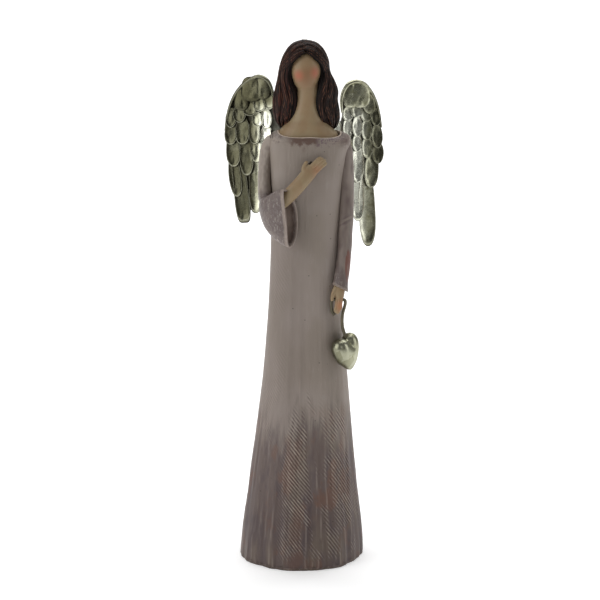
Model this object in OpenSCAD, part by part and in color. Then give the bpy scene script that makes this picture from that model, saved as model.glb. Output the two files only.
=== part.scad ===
// Standing angel figurine of cast resin: a flared gown, a bell sleeve with the hand on the heart, long hair,
// two leafed wings on steel pins, and a puffed heart that hangs on a wire through the other hand.
// Millimetres, +Z up. The origin is the middle of the underside. The figure faces -Y, and left and right are the
// figure's own, so its right side is at -X.

/* [Gown] */
// Width of the hem
hem_w = 72; // [66:1:76]
// Depth of the hem, front to back
hem_d = 70; // [64:1:74]
// Width of the gown at the chest
chest_w = 39; // [38:0.5:40]
// Depth of the gown at the chest
chest_d = 31; // [30:0.5:32]
// How far the body leans to the figure's left above the knees
sway = 2; // [1:0.5:3]
// Depth of the vertical folds at the hem
fold_depth = 0.4; // [0:0.1:1]
// Wall of the hollow skirt at the hem
skirt_wall = 8; // [6:1:12]

// Thickness of the resin plug that closes the hollow
plug_t = 4; // [3:0.5:6]

/* [Head and hair] */
// Width of the blank oval face
face_w = 15.5; // [14:0.5:17]
// Width of the hair at its widest, over the shoulders
hair_w = 37; // [35:1:38]

/* [Wings] */
// Height of the right wing
right_wing_h = 87; // [80:1:90]
// Height of the left wing, whose last feather hangs lower
left_wing_h = 97; // [90:1:99]
// Reach of the right wing from its root, in its own plane
right_wing_reach = 46; // [40:1:47]
// Reach of the left wing from its root, in its own plane
left_wing_reach = 43; // [38:1:45]
// How far the wings sweep back from the shoulders, in degrees
wing_sweep = 22; // [18:1:28]
// Thickness of a wing's plate
wing_t = 2.4; // [2:0.1:2.8]

/* [Heart and wire] */
// Width of the heart across its lobes
heart_w = 18.4; // [16:0.2:19]
// Thickness of the puffed heart
heart_t = 9.6; // [8:0.2:10]
// Diameter of the wire
wire_d = 1.7; // [1.2:0.1:1.8]

/* [Fixings] */
// Diameter of the steel pins that hold the wings
wing_pin_d = 2; // [1.6:0.1:2.4]
// Diameter of the pins between the gown and the sleeves
sleeve_pin_d = 1.6; // [1.2:0.1:2]
// Diameter of the steel dowel in the neck
dowel_d = 3; // [2.4:0.2:3.4]

/* [Hidden] */

glue = 0.05;         // radial room round a glued pin
seam = 0.15;         // room at a glued seam between two castings
drape_gap = 0.5;     // room between a sleeve and the gown it lies on
loose = 0.1;         // radial room of the wire in the hand

shoulder_z = 249.2;  // top of the gown's shoulders
flare_z = 200;       // the skirt flares below this height
lean_z = 110;        // the lean is complete above this height
flare_power = 1.5;
gown_sides = 48;

// ---- numbers and vectors ----

function unit(v) = v / norm(v);
function mix(a, b, t) = a + (b - a) * t;
function flare(z) = pow(max(0, 1 - z / flare_z), flare_power);
function axis_x(z) = sway * min(1, z / lean_z);

// The shoulders draw in towards the neckline: height against share of the chest's width and depth.
taper = [[233, 1], [240, 0.985], [244.5, 0.955], [247.8, 0.91], [shoulder_z, 0.87]];

function gown_a(z) = mix(chest_w, hem_w, flare(z)) / 2 * lookup(z, taper);
function gown_b(z) = mix(chest_d, hem_d, flare(z)) / 2 * lookup(z, taper);
function roundness(z) = mix(2.5, 2.1, flare(z));

// Where a plan point lies against the gown at that height: under 1 is inside it.
function gown_share(p) =
    let (e = roundness(p.z))
    pow(pow(abs((p.x - axis_x(p.z)) / gown_a(p.z)), e) + pow(abs(p.y / gown_b(p.z)), e), 1 / e);

// Moves a point that lies in the gown, or nearer than the gap, straight out from the gown's axis.
function outside_gown(p, gap = drape_gap) =
    let (least = 1 + gap / gown_b(p.z), share = max(gown_share(p), 0.05))
    share >= least ? p
    : [axis_x(p.z) + (p.x - axis_x(p.z)) * least / share, p.y * least / share, p.z];

// ---- closed skins over a list of rings ----

// Skins the rings in order and caps the first and the last. Points run anticlockwise seen from the last ring.
module skin(rings) {
    n = len(rings[0]);
    last = (len(rings) - 1) * n;
    polyhedron(
        points = [for (r = rings) each r],
        faces = concat(
            [for (k = [0 : len(rings) - 2], i = [0 : n - 1])
                [k * n + i, (k + 1) * n + i, (k + 1) * n + (i + 1) % n]],
            [for (k = [0 : len(rings) - 2], i = [0 : n - 1])
                [k * n + i, (k + 1) * n + (i + 1) % n, k * n + (i + 1) % n]],
            [for (i = [1 : n - 2]) [0, i, i + 1]],
            [for (i = [1 : n - 2]) [last, last + i + 1, last + i]]
        )
    );
}

// A level ring of half-widths a and b, with squareness e, whose front dips by dip.
function level_ring(x, y, z, a, b, e = 2, dip = 0, n = 24) =
    [for (i = [0 : n - 1])
        let (c = cos(360 * i / n), s = sin(360 * i / n),
             r = pow(pow(abs(c), e) + pow(abs(s), e), -1 / e))
        [x + a * r * c, y + b * r * s, z + dip * min(0, r * s)]];

// A ring across a limb at p that points along t: half-width a lies towards side, and half-width b across it.
function limb_ring(p, t, side, a, b, n = 16) =
    let (u = unit(t), na = unit(side - (side * u) * u), nb = cross(u, na))
    [for (i = [0 : n - 1]) p + a * cos(360 * i / n) * na + b * sin(360 * i / n) * nb];

// Rings along stations of [point, a, b]; each points from the station before it to the one after it.
function limb_rings(stations, side, n = 16) =
    let (m = len(stations) - 1)
    [for (k = [0 : m])
        limb_ring(stations[k][0], stations[min(k + 1, m)][0] - stations[max(k - 1, 0)][0],
            side, stations[k][1], stations[k][2], n)];

// ---- gown ----

skirt_top = 226;
skirt_steps = 19;
recess_floor = 243;

function fold(z, angle) = fold_depth * flare(z) * (cos(7 * angle + 20) + 0.5 * cos(4 * angle - 40));

function gown_ring(z) =
    let (e = roundness(z))
    [for (i = [0 : gown_sides - 1])
        let (t = 360 * i / gown_sides, c = cos(t), s = sin(t),
             r = pow(pow(abs(c), e) + pow(abs(s), e), -1 / e))
        [axis_x(z) + (gown_a(z) * r + fold(z, t)) * c, (gown_b(z) * r + fold(z, t)) * s, z]];

// Each row of the shoulders and the recess: height, share of the chest's size, and the dip of the neckline.
shoulder_rows = concat(
    [for (t = taper) [t[0], t[1], 2.6 * (t[0] - taper[0][0]) / (shoulder_z - taper[0][0])]],
    [[shoulder_z - 0.5, 0.845, 2.6], [recess_floor, 0.83, 0]]
);

module gown_skin() {
    skin(concat(
        [for (k = [0 : skirt_steps]) gown_ring(mix(0, skirt_top, k / skirt_steps))],
        [for (r = shoulder_rows)
            level_ring(sway, 0, r[0], r[1] * chest_w / 2, r[1] * chest_d / 2, 2.5, r[2], gown_sides)]
    ));
}

hollow_r = min(hem_w, hem_d) / 2 - skirt_wall;
hollow_top_r = 9;
hollow_top = 170;

module hollow() {
    translate([0, 0, -1]) cylinder(h = plug_t + 1, r = hollow_r);
    translate([0, 0, plug_t - 0.01])
        cylinder(h = hollow_top - plug_t, r1 = hollow_r - 2, r2 = hollow_top_r);
}

module gown() {
    color("#8a8078") difference() {
        gown_skin();
        hollow();
        neck_dowel_shape(glue);
        wing_pin_shapes(glue);
        sleeve_pin_shapes(glue);
    }
}

module base_plug() {
    color("#c9c0b4") cylinder(h = plug_t - glue, r = hollow_r - seam);
}

// ---- head, neck and hair ----

head_x = sway;
head_y = -2;
neck_sides = 20;

// Rows of the neck and head: height, y, half-width, half-depth, squareness.
bust_rows = [
    [recess_floor + seam, 0, 15.8, 12.4, 2.5], [246.4, 0, 15.8, 12.4, 2.5], [248.6, -0.2, 14.6, 11, 2.3],
    [250.6, -0.6, 12.8, 9.6, 2.1], [252.6, -1, 10.9, 8.2, 2], [255.4, -1.4, 8.9, 7.2, 2], [258.6, -1.5, 7.5, 6.4, 2],
    [262, -1.7, 6.6, 5.8, 2], [267, -1.9, 6, 5.5, 2], [270.5, -2.2, 6, 5.8, 2]
];
head_bottom = 270.5;
head_top = 294;
face_a = face_w / 2;
face_b = 7.6;

function head_rows() =
    [for (k = [1 : 8])
        let (t = k / 8.4, z = mix(head_bottom, head_top, t), swell = sin(acos(2 * mix(0.17, 0.985, t) - 1)))
        [z, head_y, face_a * swell, face_b * swell, 2]];

module bust_skin(grow = 0) {
    skin([for (r = concat(bust_rows, head_rows()))
        level_ring(head_x, r[1], r[0], r[2] + grow, r[3] + grow, r[4], 0, neck_sides)]);
}

module neck_dowel_shape(room = 0) {
    translate([head_x, -1, 230 - room]) cylinder(h = 40 + 2 * room, r = dowel_d / 2 + room);
}

module neck_dowel() {
    color("silver") neck_dowel_shape();
}

module head_and_neck() {
    color("#b79b78") difference() {
        bust_skin();
        neck_dowel_shape(glue);
    }
}

// Rows of the hair's outer shape: height, y of its middle, half-width against the widest, half-depth.
hair_rows = [
    [240, 14, 0.40, 4], [242, 13, 0.56, 5.4], [245, 11.4, 0.70, 7.2], [248, 9, 0.80, 9.6], [251, 6, 0.88, 11.6],
    [254.5, 4, 0.95, 11.4], [259, 2.8, 1, 11], [266, 2, 0.98, 11.2],
    [273, 1.4, 0.90, 11.6], [280, 0.8, 0.80, 12], [286, 0.4, 0.74, 12], [291.5, 0.2, 0.64, 11],
    [296, 0, 0.48, 8.8], [299, 0, 0.28, 5.4], [300, 0, 0.12, 2.4]
];

// Half of the hair's opening round the face and throat, from its peak down: how far from the middle, and height.
opening = [
    [0, 293], [3.4, 290.8], [6.2, 286.5], [7.4, 281], [7, 276], [6.1, 271], [6.2, 264], [7.8, 257], [10.8, 251.5],
    [14.4, 247], [15.4, 238]
];

// The space of the gown's shoulders with room all round, which the hair that falls behind them keeps clear of.
module shoulder_space(room) {
    rows = concat([[232, 1]], taper);
    skin(concat(
        [for (t = rows) level_ring(sway, 0, t[0], t[1] * chest_w / 2 + room, t[1] * chest_d / 2 + room, 2.5)],
        [level_ring(sway, 0, shoulder_z + room, 0.86 * chest_w / 2, 0.86 * chest_d / 2, 2.5)]
    ));
}

module hair() {
    hair_front = -30;
    opening_back = -2.2;
    color("#3b2922") difference() {
        skin([for (r = hair_rows) level_ring(head_x, r[1], r[0], r[2] * hair_w / 2, r[3], 2.2)]);
        bust_skin(seam);
        shoulder_space(drape_gap);
        translate([head_x, opening_back, 0]) rotate([90, 0, 0]) linear_extrude(opening_back - hair_front)
            polygon(concat(opening, [for (i = [len(opening) - 1 : -1 : 1]) [-opening[i].x, opening[i].y]]));
    }
}

// ---- right arm, bent across the chest, with its bell sleeve ----

arm_side = [-1, 0, 0];
cuff_wall = 1.3;
cuff_mouth = [-6.7, -22.4, 203];
cuff_mouth_a = 6;
cuff_mouth_b = 16;

right_sleeve_stations = [
    [[-16, 0.4, 248.2], 1.4, 3], [[-17.8, 0.2, 246.2], 2.8, 5], [[-19.2, 0, 242.4], 3.7, 6],
    [[-20.4, -0.2, 237], 4, 6.2], [[-21, -0.5, 228], 4, 6.2], [[-21, -2, 217], 4.1, 6.2], [[-20.6, -4.4, 209.5], 4.4, 7],
    [[-19.2, -9.4, 205], 5, 8.6], [[-16.4, -14.6, 203.8], 5.4, 10.4], [[-12, -18.8, 203], 5.8, 13]
];

// Rings inside the bell, from its rim to the floor where the forearm is let in.
module right_sleeve() {
    mouth_way = [0.8, -0.6, 0.05];
    floor_p = [-14, -17.2, 206];
    middle_p = mix(cuff_mouth, floor_p, 0.45);
    rings = concat(
        limb_rings(right_sleeve_stations, arm_side),
        [limb_ring(cuff_mouth, mouth_way, arm_side, cuff_mouth_a, cuff_mouth_b),
         limb_ring(cuff_mouth - 0.3 * mouth_way, mouth_way, arm_side,
            cuff_mouth_a - cuff_wall, cuff_mouth_b - cuff_wall),
         limb_ring(middle_p, mouth_way, arm_side, 4.4, 10.6),
         limb_ring(floor_p, mouth_way, arm_side, 3.6, 5.6)]
    );
    color("#8a8078") difference() {
        skin([for (r = rings) [for (p = r) outside_gown(p)]]);
        forearm_spigot(glue);
        sleeve_pin_shapes(glue);
    }
}

forearm_start = [-13.2, -18.4, 208.8];
forearm_next = [-8.2, -21, 214.8];

forearm_stations = [
    [forearm_start, 2.6, 3], [forearm_next, 3.6, 4], [[-1.8, -21, 222.2], 3.4, 3.9],
    [[1.8, -20.4, 226.2], 3.1, 3.7], [[5, -19.6, 229.4], 2.6, 4.2], [[8, -18.9, 232.2], 2.1, 3.7],
    [[10.6, -18.3, 234.6], 1.6, 3], [[12.4, -17.9, 236.4], 0.9, 1.8]
];

module forearm_spigot(room = 0) {
    way = unit(forearm_next - forearm_start);
    tilt = acos(way.z);
    turn = atan2(way.y, way.x);
    translate(forearm_start - 2.6 * way) rotate([0, tilt, turn])
        cylinder(h = 4 + room, r = 1.2 + room);
}

// The thumb lies beside the palm, on the side of the throat.
thumb_stations = [
    [[1, -20.4, 226.8], 1.6, 2], [[0.6, -19.8, 230], 1.4, 1.6], [[1.6, -19.2, 232.6], 0.8, 0.9]
];

module right_forearm() {
    front = [0, -1, 0];
    color("#b79b78") union() {
        skin([for (r = limb_rings(forearm_stations, front)) [for (p = r) outside_gown(p)]]);
        skin([for (r = limb_rings(thumb_stations, front, 10)) [for (p = r) outside_gown(p)]]);
        forearm_spigot();
    }
}

// ---- left arm, straight down, with the wire through its hand ----

left_sleeve_stations = [
    [[20.4, 0.4, 248.2], 1.4, 3], [[22.6, 0.2, 246.2], 2.8, 5], [[24.2, 0, 242.4], 3.8, 6],
    [[25.2, -0.2, 236.4], 4.1, 6.2],
    [[25.5, -1, 225], 4.1, 6.2], [[25.4, -3, 210], 4.2, 6], [[25, -5.8, 195], 4, 5.6],
    [[24.3, -9, 182], 3.8, 5], [[23.2, -12.2, 170], 3.7, 4.4], [[21.8, -14.8, 160], 4, 4]
];
left_cuff = [21.8, -14.8, 160];
left_cuff_way = [-0.16, -0.24, -1];

module left_sleeve() {
    rings = concat(
        limb_rings(left_sleeve_stations, arm_side),
        [limb_ring(left_cuff - 0.2 * left_cuff_way, left_cuff_way, arm_side, 3, 3),
         limb_ring(left_cuff - 3 * left_cuff_way, left_cuff_way, arm_side, 2.6, 2.6)]
    );
    color("#8a8078") difference() {
        skin([for (r = rings) [for (p = r) outside_gown(p)]]);
        sleeve_pin_shapes(glue);
        hand_spigot(glue);
    }
}

hand_stations = [
    [[22, -14.4, 162.4], 2.3, 2.2], [[21.6, -15.4, 159], 2.5, 2.4], [[20.9, -16.3, 155.6], 3, 2.8],
    [[20.3, -16.6, 152], 3, 2.8], [[19.9, -16.6, 149], 2.4, 2.4], [[19.4, -16.4, 146.8], 1.3, 1.3]
];
pivot = [20.6, -16.6, 155];

module hand_spigot(room = 0) {
    translate([22, -14.5, 161]) cylinder(h = 5 + room, r = 1 + room);
}

module left_hand() {
    color("#b79b78") difference() {
        union() {
            skin([for (r = limb_rings(hand_stations, arm_side, 14)) [for (p = r) outside_gown(p)]]);
            hand_spigot();
        }
        translate(pivot) rotate([0, 90, 0])
            cylinder(h = 20, r = wire_d / 2 + loose, center = true);
    }
}

// ---- pins between the castings ----

// Heights of the sleeve pins, and how far each lies from the middle plane on the right and the left.
sleeve_pin_spots = [[-1, 234, 15.5], [-1, 216, 15.5], [1, 234, 18.2], [1, 212, 18.2]];
sleeve_pin_len = 8;

module sleeve_pin_shapes(room = 0) {
    for (s = sleeve_pin_spots)
        translate([s[0] * s[2] - (s[0] < 0 ? sleeve_pin_len : 0) - room, -1, s[1]]) rotate([0, 90, 0])
            cylinder(h = sleeve_pin_len + 2 * room, r = sleeve_pin_d / 2 + room);
}

module sleeve_pins() {
    color("silver") sleeve_pin_shapes();
}

// ---- wings ----

wing_root = [5, 21.6];          // plan place of a wing's root, before mirroring, from the gown's axis
lug_r = 4.6;
pin_heights = [222, 235];
pin_from = 9;
pin_len = 9.5;
wing_pin_x = 9;

module wing_pin_shapes(room = 0) {
    for (side = [-1, 1], z = pin_heights)
        translate([sway + side * wing_pin_x, pin_from - room, z]) rotate([-90, 0, 0])
            cylinder(h = pin_len + 2 * room, r = wing_pin_d / 2 + room);
}

module wing_pins() {
    color("silver") wing_pin_shapes();
}

// Outline of a wing: share of its reach and share of its height below the top, from the root round by the tip.
wing_outline = [
    [0.00, 0.40], [0.04, 0.30], [0.16, 0.20], [0.28, 0.13], [0.36, 0.06], [0.46, 0.012], [0.58, 0.00],
    [0.70, 0.02], [0.81, 0.07], [0.89, 0.13], [0.95, 0.21], [0.99, 0.31], [1.00, 0.42], [0.98, 0.53],
    [0.91, 0.62], [0.87, 0.72], [0.86, 0.84], [0.87, 0.93], [0.80, 0.995], [0.72, 0.985], [0.64, 0.92],
    [0.58, 0.86], [0.46, 0.84], [0.38, 0.76], [0.28, 0.70], [0.18, 0.62], [0.04, 0.60]
];

// One row of feathers: how many, the share of the height where they end, their length and width, and the
// share of the reach of the first and the last.
feather_rows = [
    [4, 0.17, 10, 7.4, 0.34, 0.84], [5, 0.26, 12, 7.4, 0.26, 0.90], [5, 0.36, 14, 7.6, 0.20, 0.92],
    [5, 0.48, 17, 7.8, 0.16, 0.92], [5, 0.63, 20, 8, 0.22, 0.86], [3, 0.86, 26, 8.4, 0.44, 0.78]
];
feather_t = 0.9;

module feather(len, w) {
    polygon(concat(
        [[-0.3 * w, len], [-0.5 * w, 0.6 * len]],
        [for (a = [180 : 20 : 360]) [0.5 * w * cos(a), 0.3 * len + 0.3 * len * sin(a)]],
        [[0.5 * w, 0.6 * len], [0.3 * w, len]]
    ));
}

module wing(reach, height, top) {
    linear_extrude(wing_t)
        polygon([for (p = wing_outline) [p.x * reach, top - p.y * height]]);
    for (r = [0 : len(feather_rows) - 1])
        let (row = feather_rows[r])
        for (i = [0 : row[0] - 1])
            let (share = i / (row[0] - 1), u = mix(row[4], row[5], share))
            translate([u * reach, top - row[1] * height - 3 * (share - 0.5), wing_t - 0.5 + 0.23 * (6 - r)])
                linear_extrude(feather_t) feather(row[2], row[3]);
}

// A wing in place on the figure's left, with the lug that its pins enter.
module placed_wing(reach, height, top) {
    difference() {
        union() {
            translate([sway + wing_root.x, wing_root.y, 0]) rotate([90, 0, wing_sweep]) wing(reach, height, top);
            for (z = pin_heights)
                translate([sway + wing_pin_x, chest_d / 2 + drape_gap, z]) rotate([-90, 0, 0])
                    cylinder(h = 6, r = lug_r);
        }
        wing_pin_shapes(glue);
    }
}

right_wing_top = 278.5;
left_wing_top = 275.5;

module right_wing() {
    color("#a8a68c") translate([2 * sway, 0, 0]) mirror([1, 0, 0])
        placed_wing(right_wing_reach, right_wing_h, right_wing_top);
}

module left_wing() {
    color("#a8a68c") placed_wing(left_wing_reach, left_wing_h, left_wing_top);
}

// ---- heart on its wire ----

heart_at = [26.2, -17.3, 125];
heart_turn = 42;                // the heart's face turns this far from the front to the figure's left
heart_lean = -8;                // the heart leans out with the skirt
lobe_r = heart_t / 2;
lobe_x = heart_w / 2 - lobe_r;
heart_drop = 13;

module heart_placed() {
    translate(heart_at) rotate([0, heart_lean, 0]) rotate([0, 0, heart_turn]) children();
}

module heart() {
    color("#a8a68c") difference() {
        heart_placed() for (side = [-1, 1])
            hull() {
                translate([side * lobe_x, 0, 0]) sphere(r = lobe_r, $fn = 32);
                translate([0, 0, -heart_drop]) sphere(r = 1.2, $fn = 16);
            }
        wire_stem(glue, 1.06);
    }
}

// The wire's centreline below the hand, down into the heart's cleft.
stem_points = [
    pivot + [3, 0, 0], pivot + [3.8, 0, -0.2], pivot + [4.2, 0, -1.2], pivot + [4.1, 0, -4],
    pivot + [3.3, 0, -7.5], pivot + [2.9, 0, -11], pivot + [3.2, 0, -16], pivot + [4.2, -0.3, -21.5],
    heart_at + [-0.4, 0, 4.4], heart_at + [0, 0, 0.5]
];

// The wire's free end, turned down beside the fingers.
hook_points = [
    pivot + [-3, 0, 0], pivot + [-3.9, 0, -0.3], pivot + [-4.4, -0.2, -1.6], pivot + [-4.6, -0.4, -5],
    pivot + [-4.3, -0.5, -7], pivot + [-3.4, -0.6, -8.3]
];

module wire_stem(room = 0, swell = 1) {
    r = (wire_d / 2 - 0.05) * swell + room;
    skin(limb_rings([for (p = stem_points) [p, r, r]], [0, -1, 0], 10));
}

module heart_wire() {
    r = wire_d / 2 - 0.05;
    color("#7d745c") union() {
        translate(pivot) rotate([0, 90, 0]) cylinder(h = 6.6, r = wire_d / 2, center = true);
        wire_stem();
        skin(limb_rings([for (p = hook_points) [p, r, r]], [0, -1, 0], 10));
    }
}

gown();
base_plug();
head_and_neck();
neck_dowel();
hair();
right_sleeve();
right_forearm();
left_sleeve();
left_hand();
sleeve_pins();
right_wing();
left_wing();
wing_pins();
heart();
heart_wire();
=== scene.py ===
"""Looks of a standing angel figurine: painted resin castings, leafed wings, and a heart on a wire.

Shapes are worked out in millimetres in the CAD model's frame and turned into metres as each mesh is made.
"""

import math

import bpy
import numpy as np
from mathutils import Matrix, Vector


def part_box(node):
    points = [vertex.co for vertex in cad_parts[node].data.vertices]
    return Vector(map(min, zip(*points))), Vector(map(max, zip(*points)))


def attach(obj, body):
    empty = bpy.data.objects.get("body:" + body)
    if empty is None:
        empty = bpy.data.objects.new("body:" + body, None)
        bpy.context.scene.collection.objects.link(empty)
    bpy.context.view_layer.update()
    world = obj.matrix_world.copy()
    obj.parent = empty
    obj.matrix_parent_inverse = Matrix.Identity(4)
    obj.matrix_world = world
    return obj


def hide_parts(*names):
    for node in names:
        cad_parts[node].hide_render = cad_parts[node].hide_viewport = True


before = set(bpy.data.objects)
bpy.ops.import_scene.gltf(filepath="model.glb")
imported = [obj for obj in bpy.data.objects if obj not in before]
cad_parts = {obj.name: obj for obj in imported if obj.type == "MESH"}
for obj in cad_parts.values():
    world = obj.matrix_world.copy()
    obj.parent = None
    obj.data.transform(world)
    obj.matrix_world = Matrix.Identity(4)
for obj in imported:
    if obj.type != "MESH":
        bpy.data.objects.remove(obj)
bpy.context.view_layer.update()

MM = 0.001
FRONT, SIDE = (0, -1, 0), (-1, 0, 0)


# ---- numbers ----


def mix(a, b, t):
    return a + (b - a) * t


def smooth(a, b, x):
    """0 below a and 1 above b, with a soft step between them."""
    t = np.clip((np.asarray(x, float) - a) / (b - a), 0, 1)
    return t * t * (3 - 2 * t)


def curve(stations, x):
    """A smooth curve through rows of (place, value, value...), at the places x."""
    rows = np.asarray(stations, float)
    xs, ys = rows[:, 0], rows[:, 1:]
    slope = np.gradient(ys, xs, axis=0)
    x = np.clip(np.asarray(x, float), xs[0], xs[-1])
    k = np.clip(np.searchsorted(xs, x) - 1, 0, len(xs) - 2)
    h = (xs[k + 1] - xs[k])[..., None]
    t = (x - xs[k])[..., None] / h
    out = (1 + 2 * t) * (1 - t) ** 2 * ys[k] + t * (1 - t) ** 2 * h * slope[k]
    out = out + t * t * (3 - 2 * t) * ys[k + 1] + t * t * (t - 1) * h * slope[k + 1]
    return out[..., 0] if ys.shape[1] == 1 else out


def path_points(points, count):
    """Points spaced along a smooth path, and how far along it each one is, from 0 to 1."""
    p = np.asarray(points, float)
    run = np.concatenate([[0], np.cumsum(np.linalg.norm(np.diff(p[:, :3], axis=0), axis=1))])
    t = np.linspace(0, 1, count)
    return curve(np.column_stack([run / run[-1], p]), t), t


def noise(p, seed=0):
    """Smooth value noise at points whose last axis holds x, y, z, from -1 to 1."""
    p = np.asarray(p, float)
    i = np.floor(p).astype(np.int64)
    f = p - i
    f = f * f * (3 - 2 * f)
    total = 0
    for corner in range(8):
        d = np.array([corner & 1, corner >> 1 & 1, corner >> 2 & 1])
        c = i + d
        n = c[..., 0] * 374761393 + c[..., 1] * 668265263 + c[..., 2] * 1440662683 + seed * 974711
        n = (n ^ (n >> 13)) * 1274126177
        value = ((n ^ (n >> 16)) & 0xFFFF) / 32767.5 - 1
        total = total + value * np.prod(np.where(d == 1, f, 1 - f), axis=-1)
    return total


def xyz(x, y, z):
    return np.stack(np.broadcast_arrays(x, y, z), axis=-1).astype(float)


# ---- meshes ----


class Shape:
    """Closed skins collected into one mesh, with named numbers kept per point."""

    def __init__(self):
        self.points, self.faces, self.values, self.count = [], [], {}, 0

    def add(self, points, faces, **values):
        points = np.asarray(points, float).reshape(-1, 3)
        for f in faces:
            self.faces += (np.asarray(f) + self.count).tolist()
        for key in set(self.values) | set(values):
            held = self.values.setdefault(key, [np.zeros(self.count)] if self.count else [])
            value = np.asarray(values.get(key, 0.0), float)
            held.append(np.broadcast_to(value.reshape(-1) if value.ndim else value, (len(points),)))
        self.points.append(points)
        self.count += len(points)

    def loft(self, rings, **values):
        """A skin over rings of points, capped with a fan at each end."""
        rings = np.asarray(rings, float)
        rows, cols = rings.shape[:2]
        k, i = np.meshgrid(np.arange(rows - 1), np.arange(cols), indexing="ij")
        j = (i + 1) % cols
        quads = np.stack([k * cols + i, k * cols + j, (k + 1) * cols + j, (k + 1) * cols + i], -1)
        faces = [quads.reshape(-1, 4)]
        points = rings.reshape(-1, 3)
        ends = np.stack([rings[0].mean(0), rings[-1].mean(0)])
        n = rows * cols
        ring = np.arange(cols)
        after = (ring + 1) % cols
        last = (rows - 1) * cols
        faces.append(np.stack([after, ring, np.full(cols, n)], -1))
        faces.append(np.stack([last + ring, last + after, np.full(cols, n + 1)], -1))
        full = {}
        for key, value in values.items():
            v = np.broadcast_to(np.asarray(value, float), (rows, cols)) if np.ndim(value) else value
            full[key] = np.append(v.reshape(-1), [v[0].mean(), v[-1].mean()]) if np.ndim(value) else value
        self.add(np.vstack([points, ends]), faces, **full)

    def mesh(self, name):
        data = bpy.data.meshes.new(name)
        data.from_pydata((np.vstack(self.points) * MM).tolist(), [], self.faces)
        for key, value in self.values.items():
            data.attributes.new(key, "FLOAT", "POINT").data.foreach_set("value", np.concatenate(value))
        data.update()
        return data


def unit(v):
    return v / np.linalg.norm(v, axis=-1, keepdims=True)


def points_of(data):
    co = np.empty(len(data.vertices) * 3)
    data.vertices.foreach_get("co", co)
    return co.reshape(-1, 3) / MM


def normals_of(data):
    n = np.empty(len(data.vertices) * 3)
    data.vertices.foreach_get("normal", n)
    return n.reshape(-1, 3)


def set_points(data, co):
    data.vertices.foreach_set("co", (co * MM).reshape(-1))
    data.update()


def relax(data, co, times, share=0.5):
    """Each point moves towards the mean of its neighbours."""
    e = np.empty(len(data.edges) * 2, np.int64)
    data.edges.foreach_get("vertices", e)
    a, b = e[0::2], e[1::2]
    n = len(co)
    around = np.maximum(np.bincount(e, minlength=n), 1)[:, None]
    for _ in range(times):
        total = [np.bincount(a, co[b, k], n) + np.bincount(b, co[a, k], n) for k in range(3)]
        total = np.stack(total, -1)
        co = co + share * (total / around - co)
    return co


def hollows(data, times=12, span=0.25):
    """How far each point lies in a hollow, from 0 on a sharp ridge to 1 in a deep groove, 0.5 when flat."""
    co = points_of(data)
    away = relax(data, co, times) - co
    depth = np.einsum("ij,ij->i", away, normals_of(data))
    return np.clip(0.5 + depth / (2 * span), 0, 1)


def set_value(data, key, value):
    old = data.attributes.get(key)
    if old:
        data.attributes.remove(old)
    data.attributes.new(key, "FLOAT", "POINT").data.foreach_set("value", np.asarray(value, float))


def fuse(data, voxel_mm, name):
    """Overlapping skins become one skin, as in a casting."""
    holder = bpy.data.objects.new(name, data)
    bpy.context.scene.collection.objects.link(holder)
    m = holder.modifiers.new("fuse", "REMESH")
    m.mode, m.voxel_size = "VOXEL", voxel_mm * MM
    bpy.context.view_layer.update()
    out = bpy.data.meshes.new_from_object(holder.evaluated_get(bpy.context.evaluated_depsgraph_get()))
    bpy.data.objects.remove(holder)
    out.name = name
    return out


def piece(name, data, body, paint, replaces=()):
    """One visible piece: a mesh that rides on a body and stands for the CAD nodes it replaces."""
    obj = bpy.data.objects.new(name, data)
    bpy.context.scene.collection.objects.link(obj)
    data.materials.clear()
    data.materials.append(paint)
    for polygon in data.polygons:
        polygon.use_smooth = True
    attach(obj, body)
    if replaces:
        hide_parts(*replaces)
    return obj


def limb(points, side, cols=32, rows=60, squareness=2.0):
    """Rings along a smooth path, how far along it each one is, and the angle of each point round its ring.

    Each row of points is x, y, z, half-width towards side and half-width across it.
    """
    line, t = path_points(points, rows)
    middle, a, b = line[:, :3], line[:, 3:4], line[:, 4:5]
    way = unit(np.gradient(middle, axis=0))
    s = np.asarray(side, float)
    na = unit(s - (way @ s)[:, None] * way)
    nb = np.cross(way, na)
    angle = np.arange(cols) * 2 * np.pi / cols
    c, d = np.cos(angle), np.sin(angle)
    r = (abs(c) ** squareness + abs(d) ** squareness) ** (-1 / squareness)
    u, v = (c * r)[None, :, None], (d * r)[None, :, None]
    return middle[:, None] + a[:, None] * u * na[:, None] + b[:, None] * v * nb[:, None], t, angle


# ---- paints ----


def srgb(r, g, b):
    """A colour given as sRGB values from 0 to 255, as linear light with full alpha."""
    light = [c / 255 / 12.92 if c < 11 else ((c / 255 + 0.055) / 1.055) ** 2.4 for c in (r, g, b)]
    return (*light, 1.0)


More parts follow.
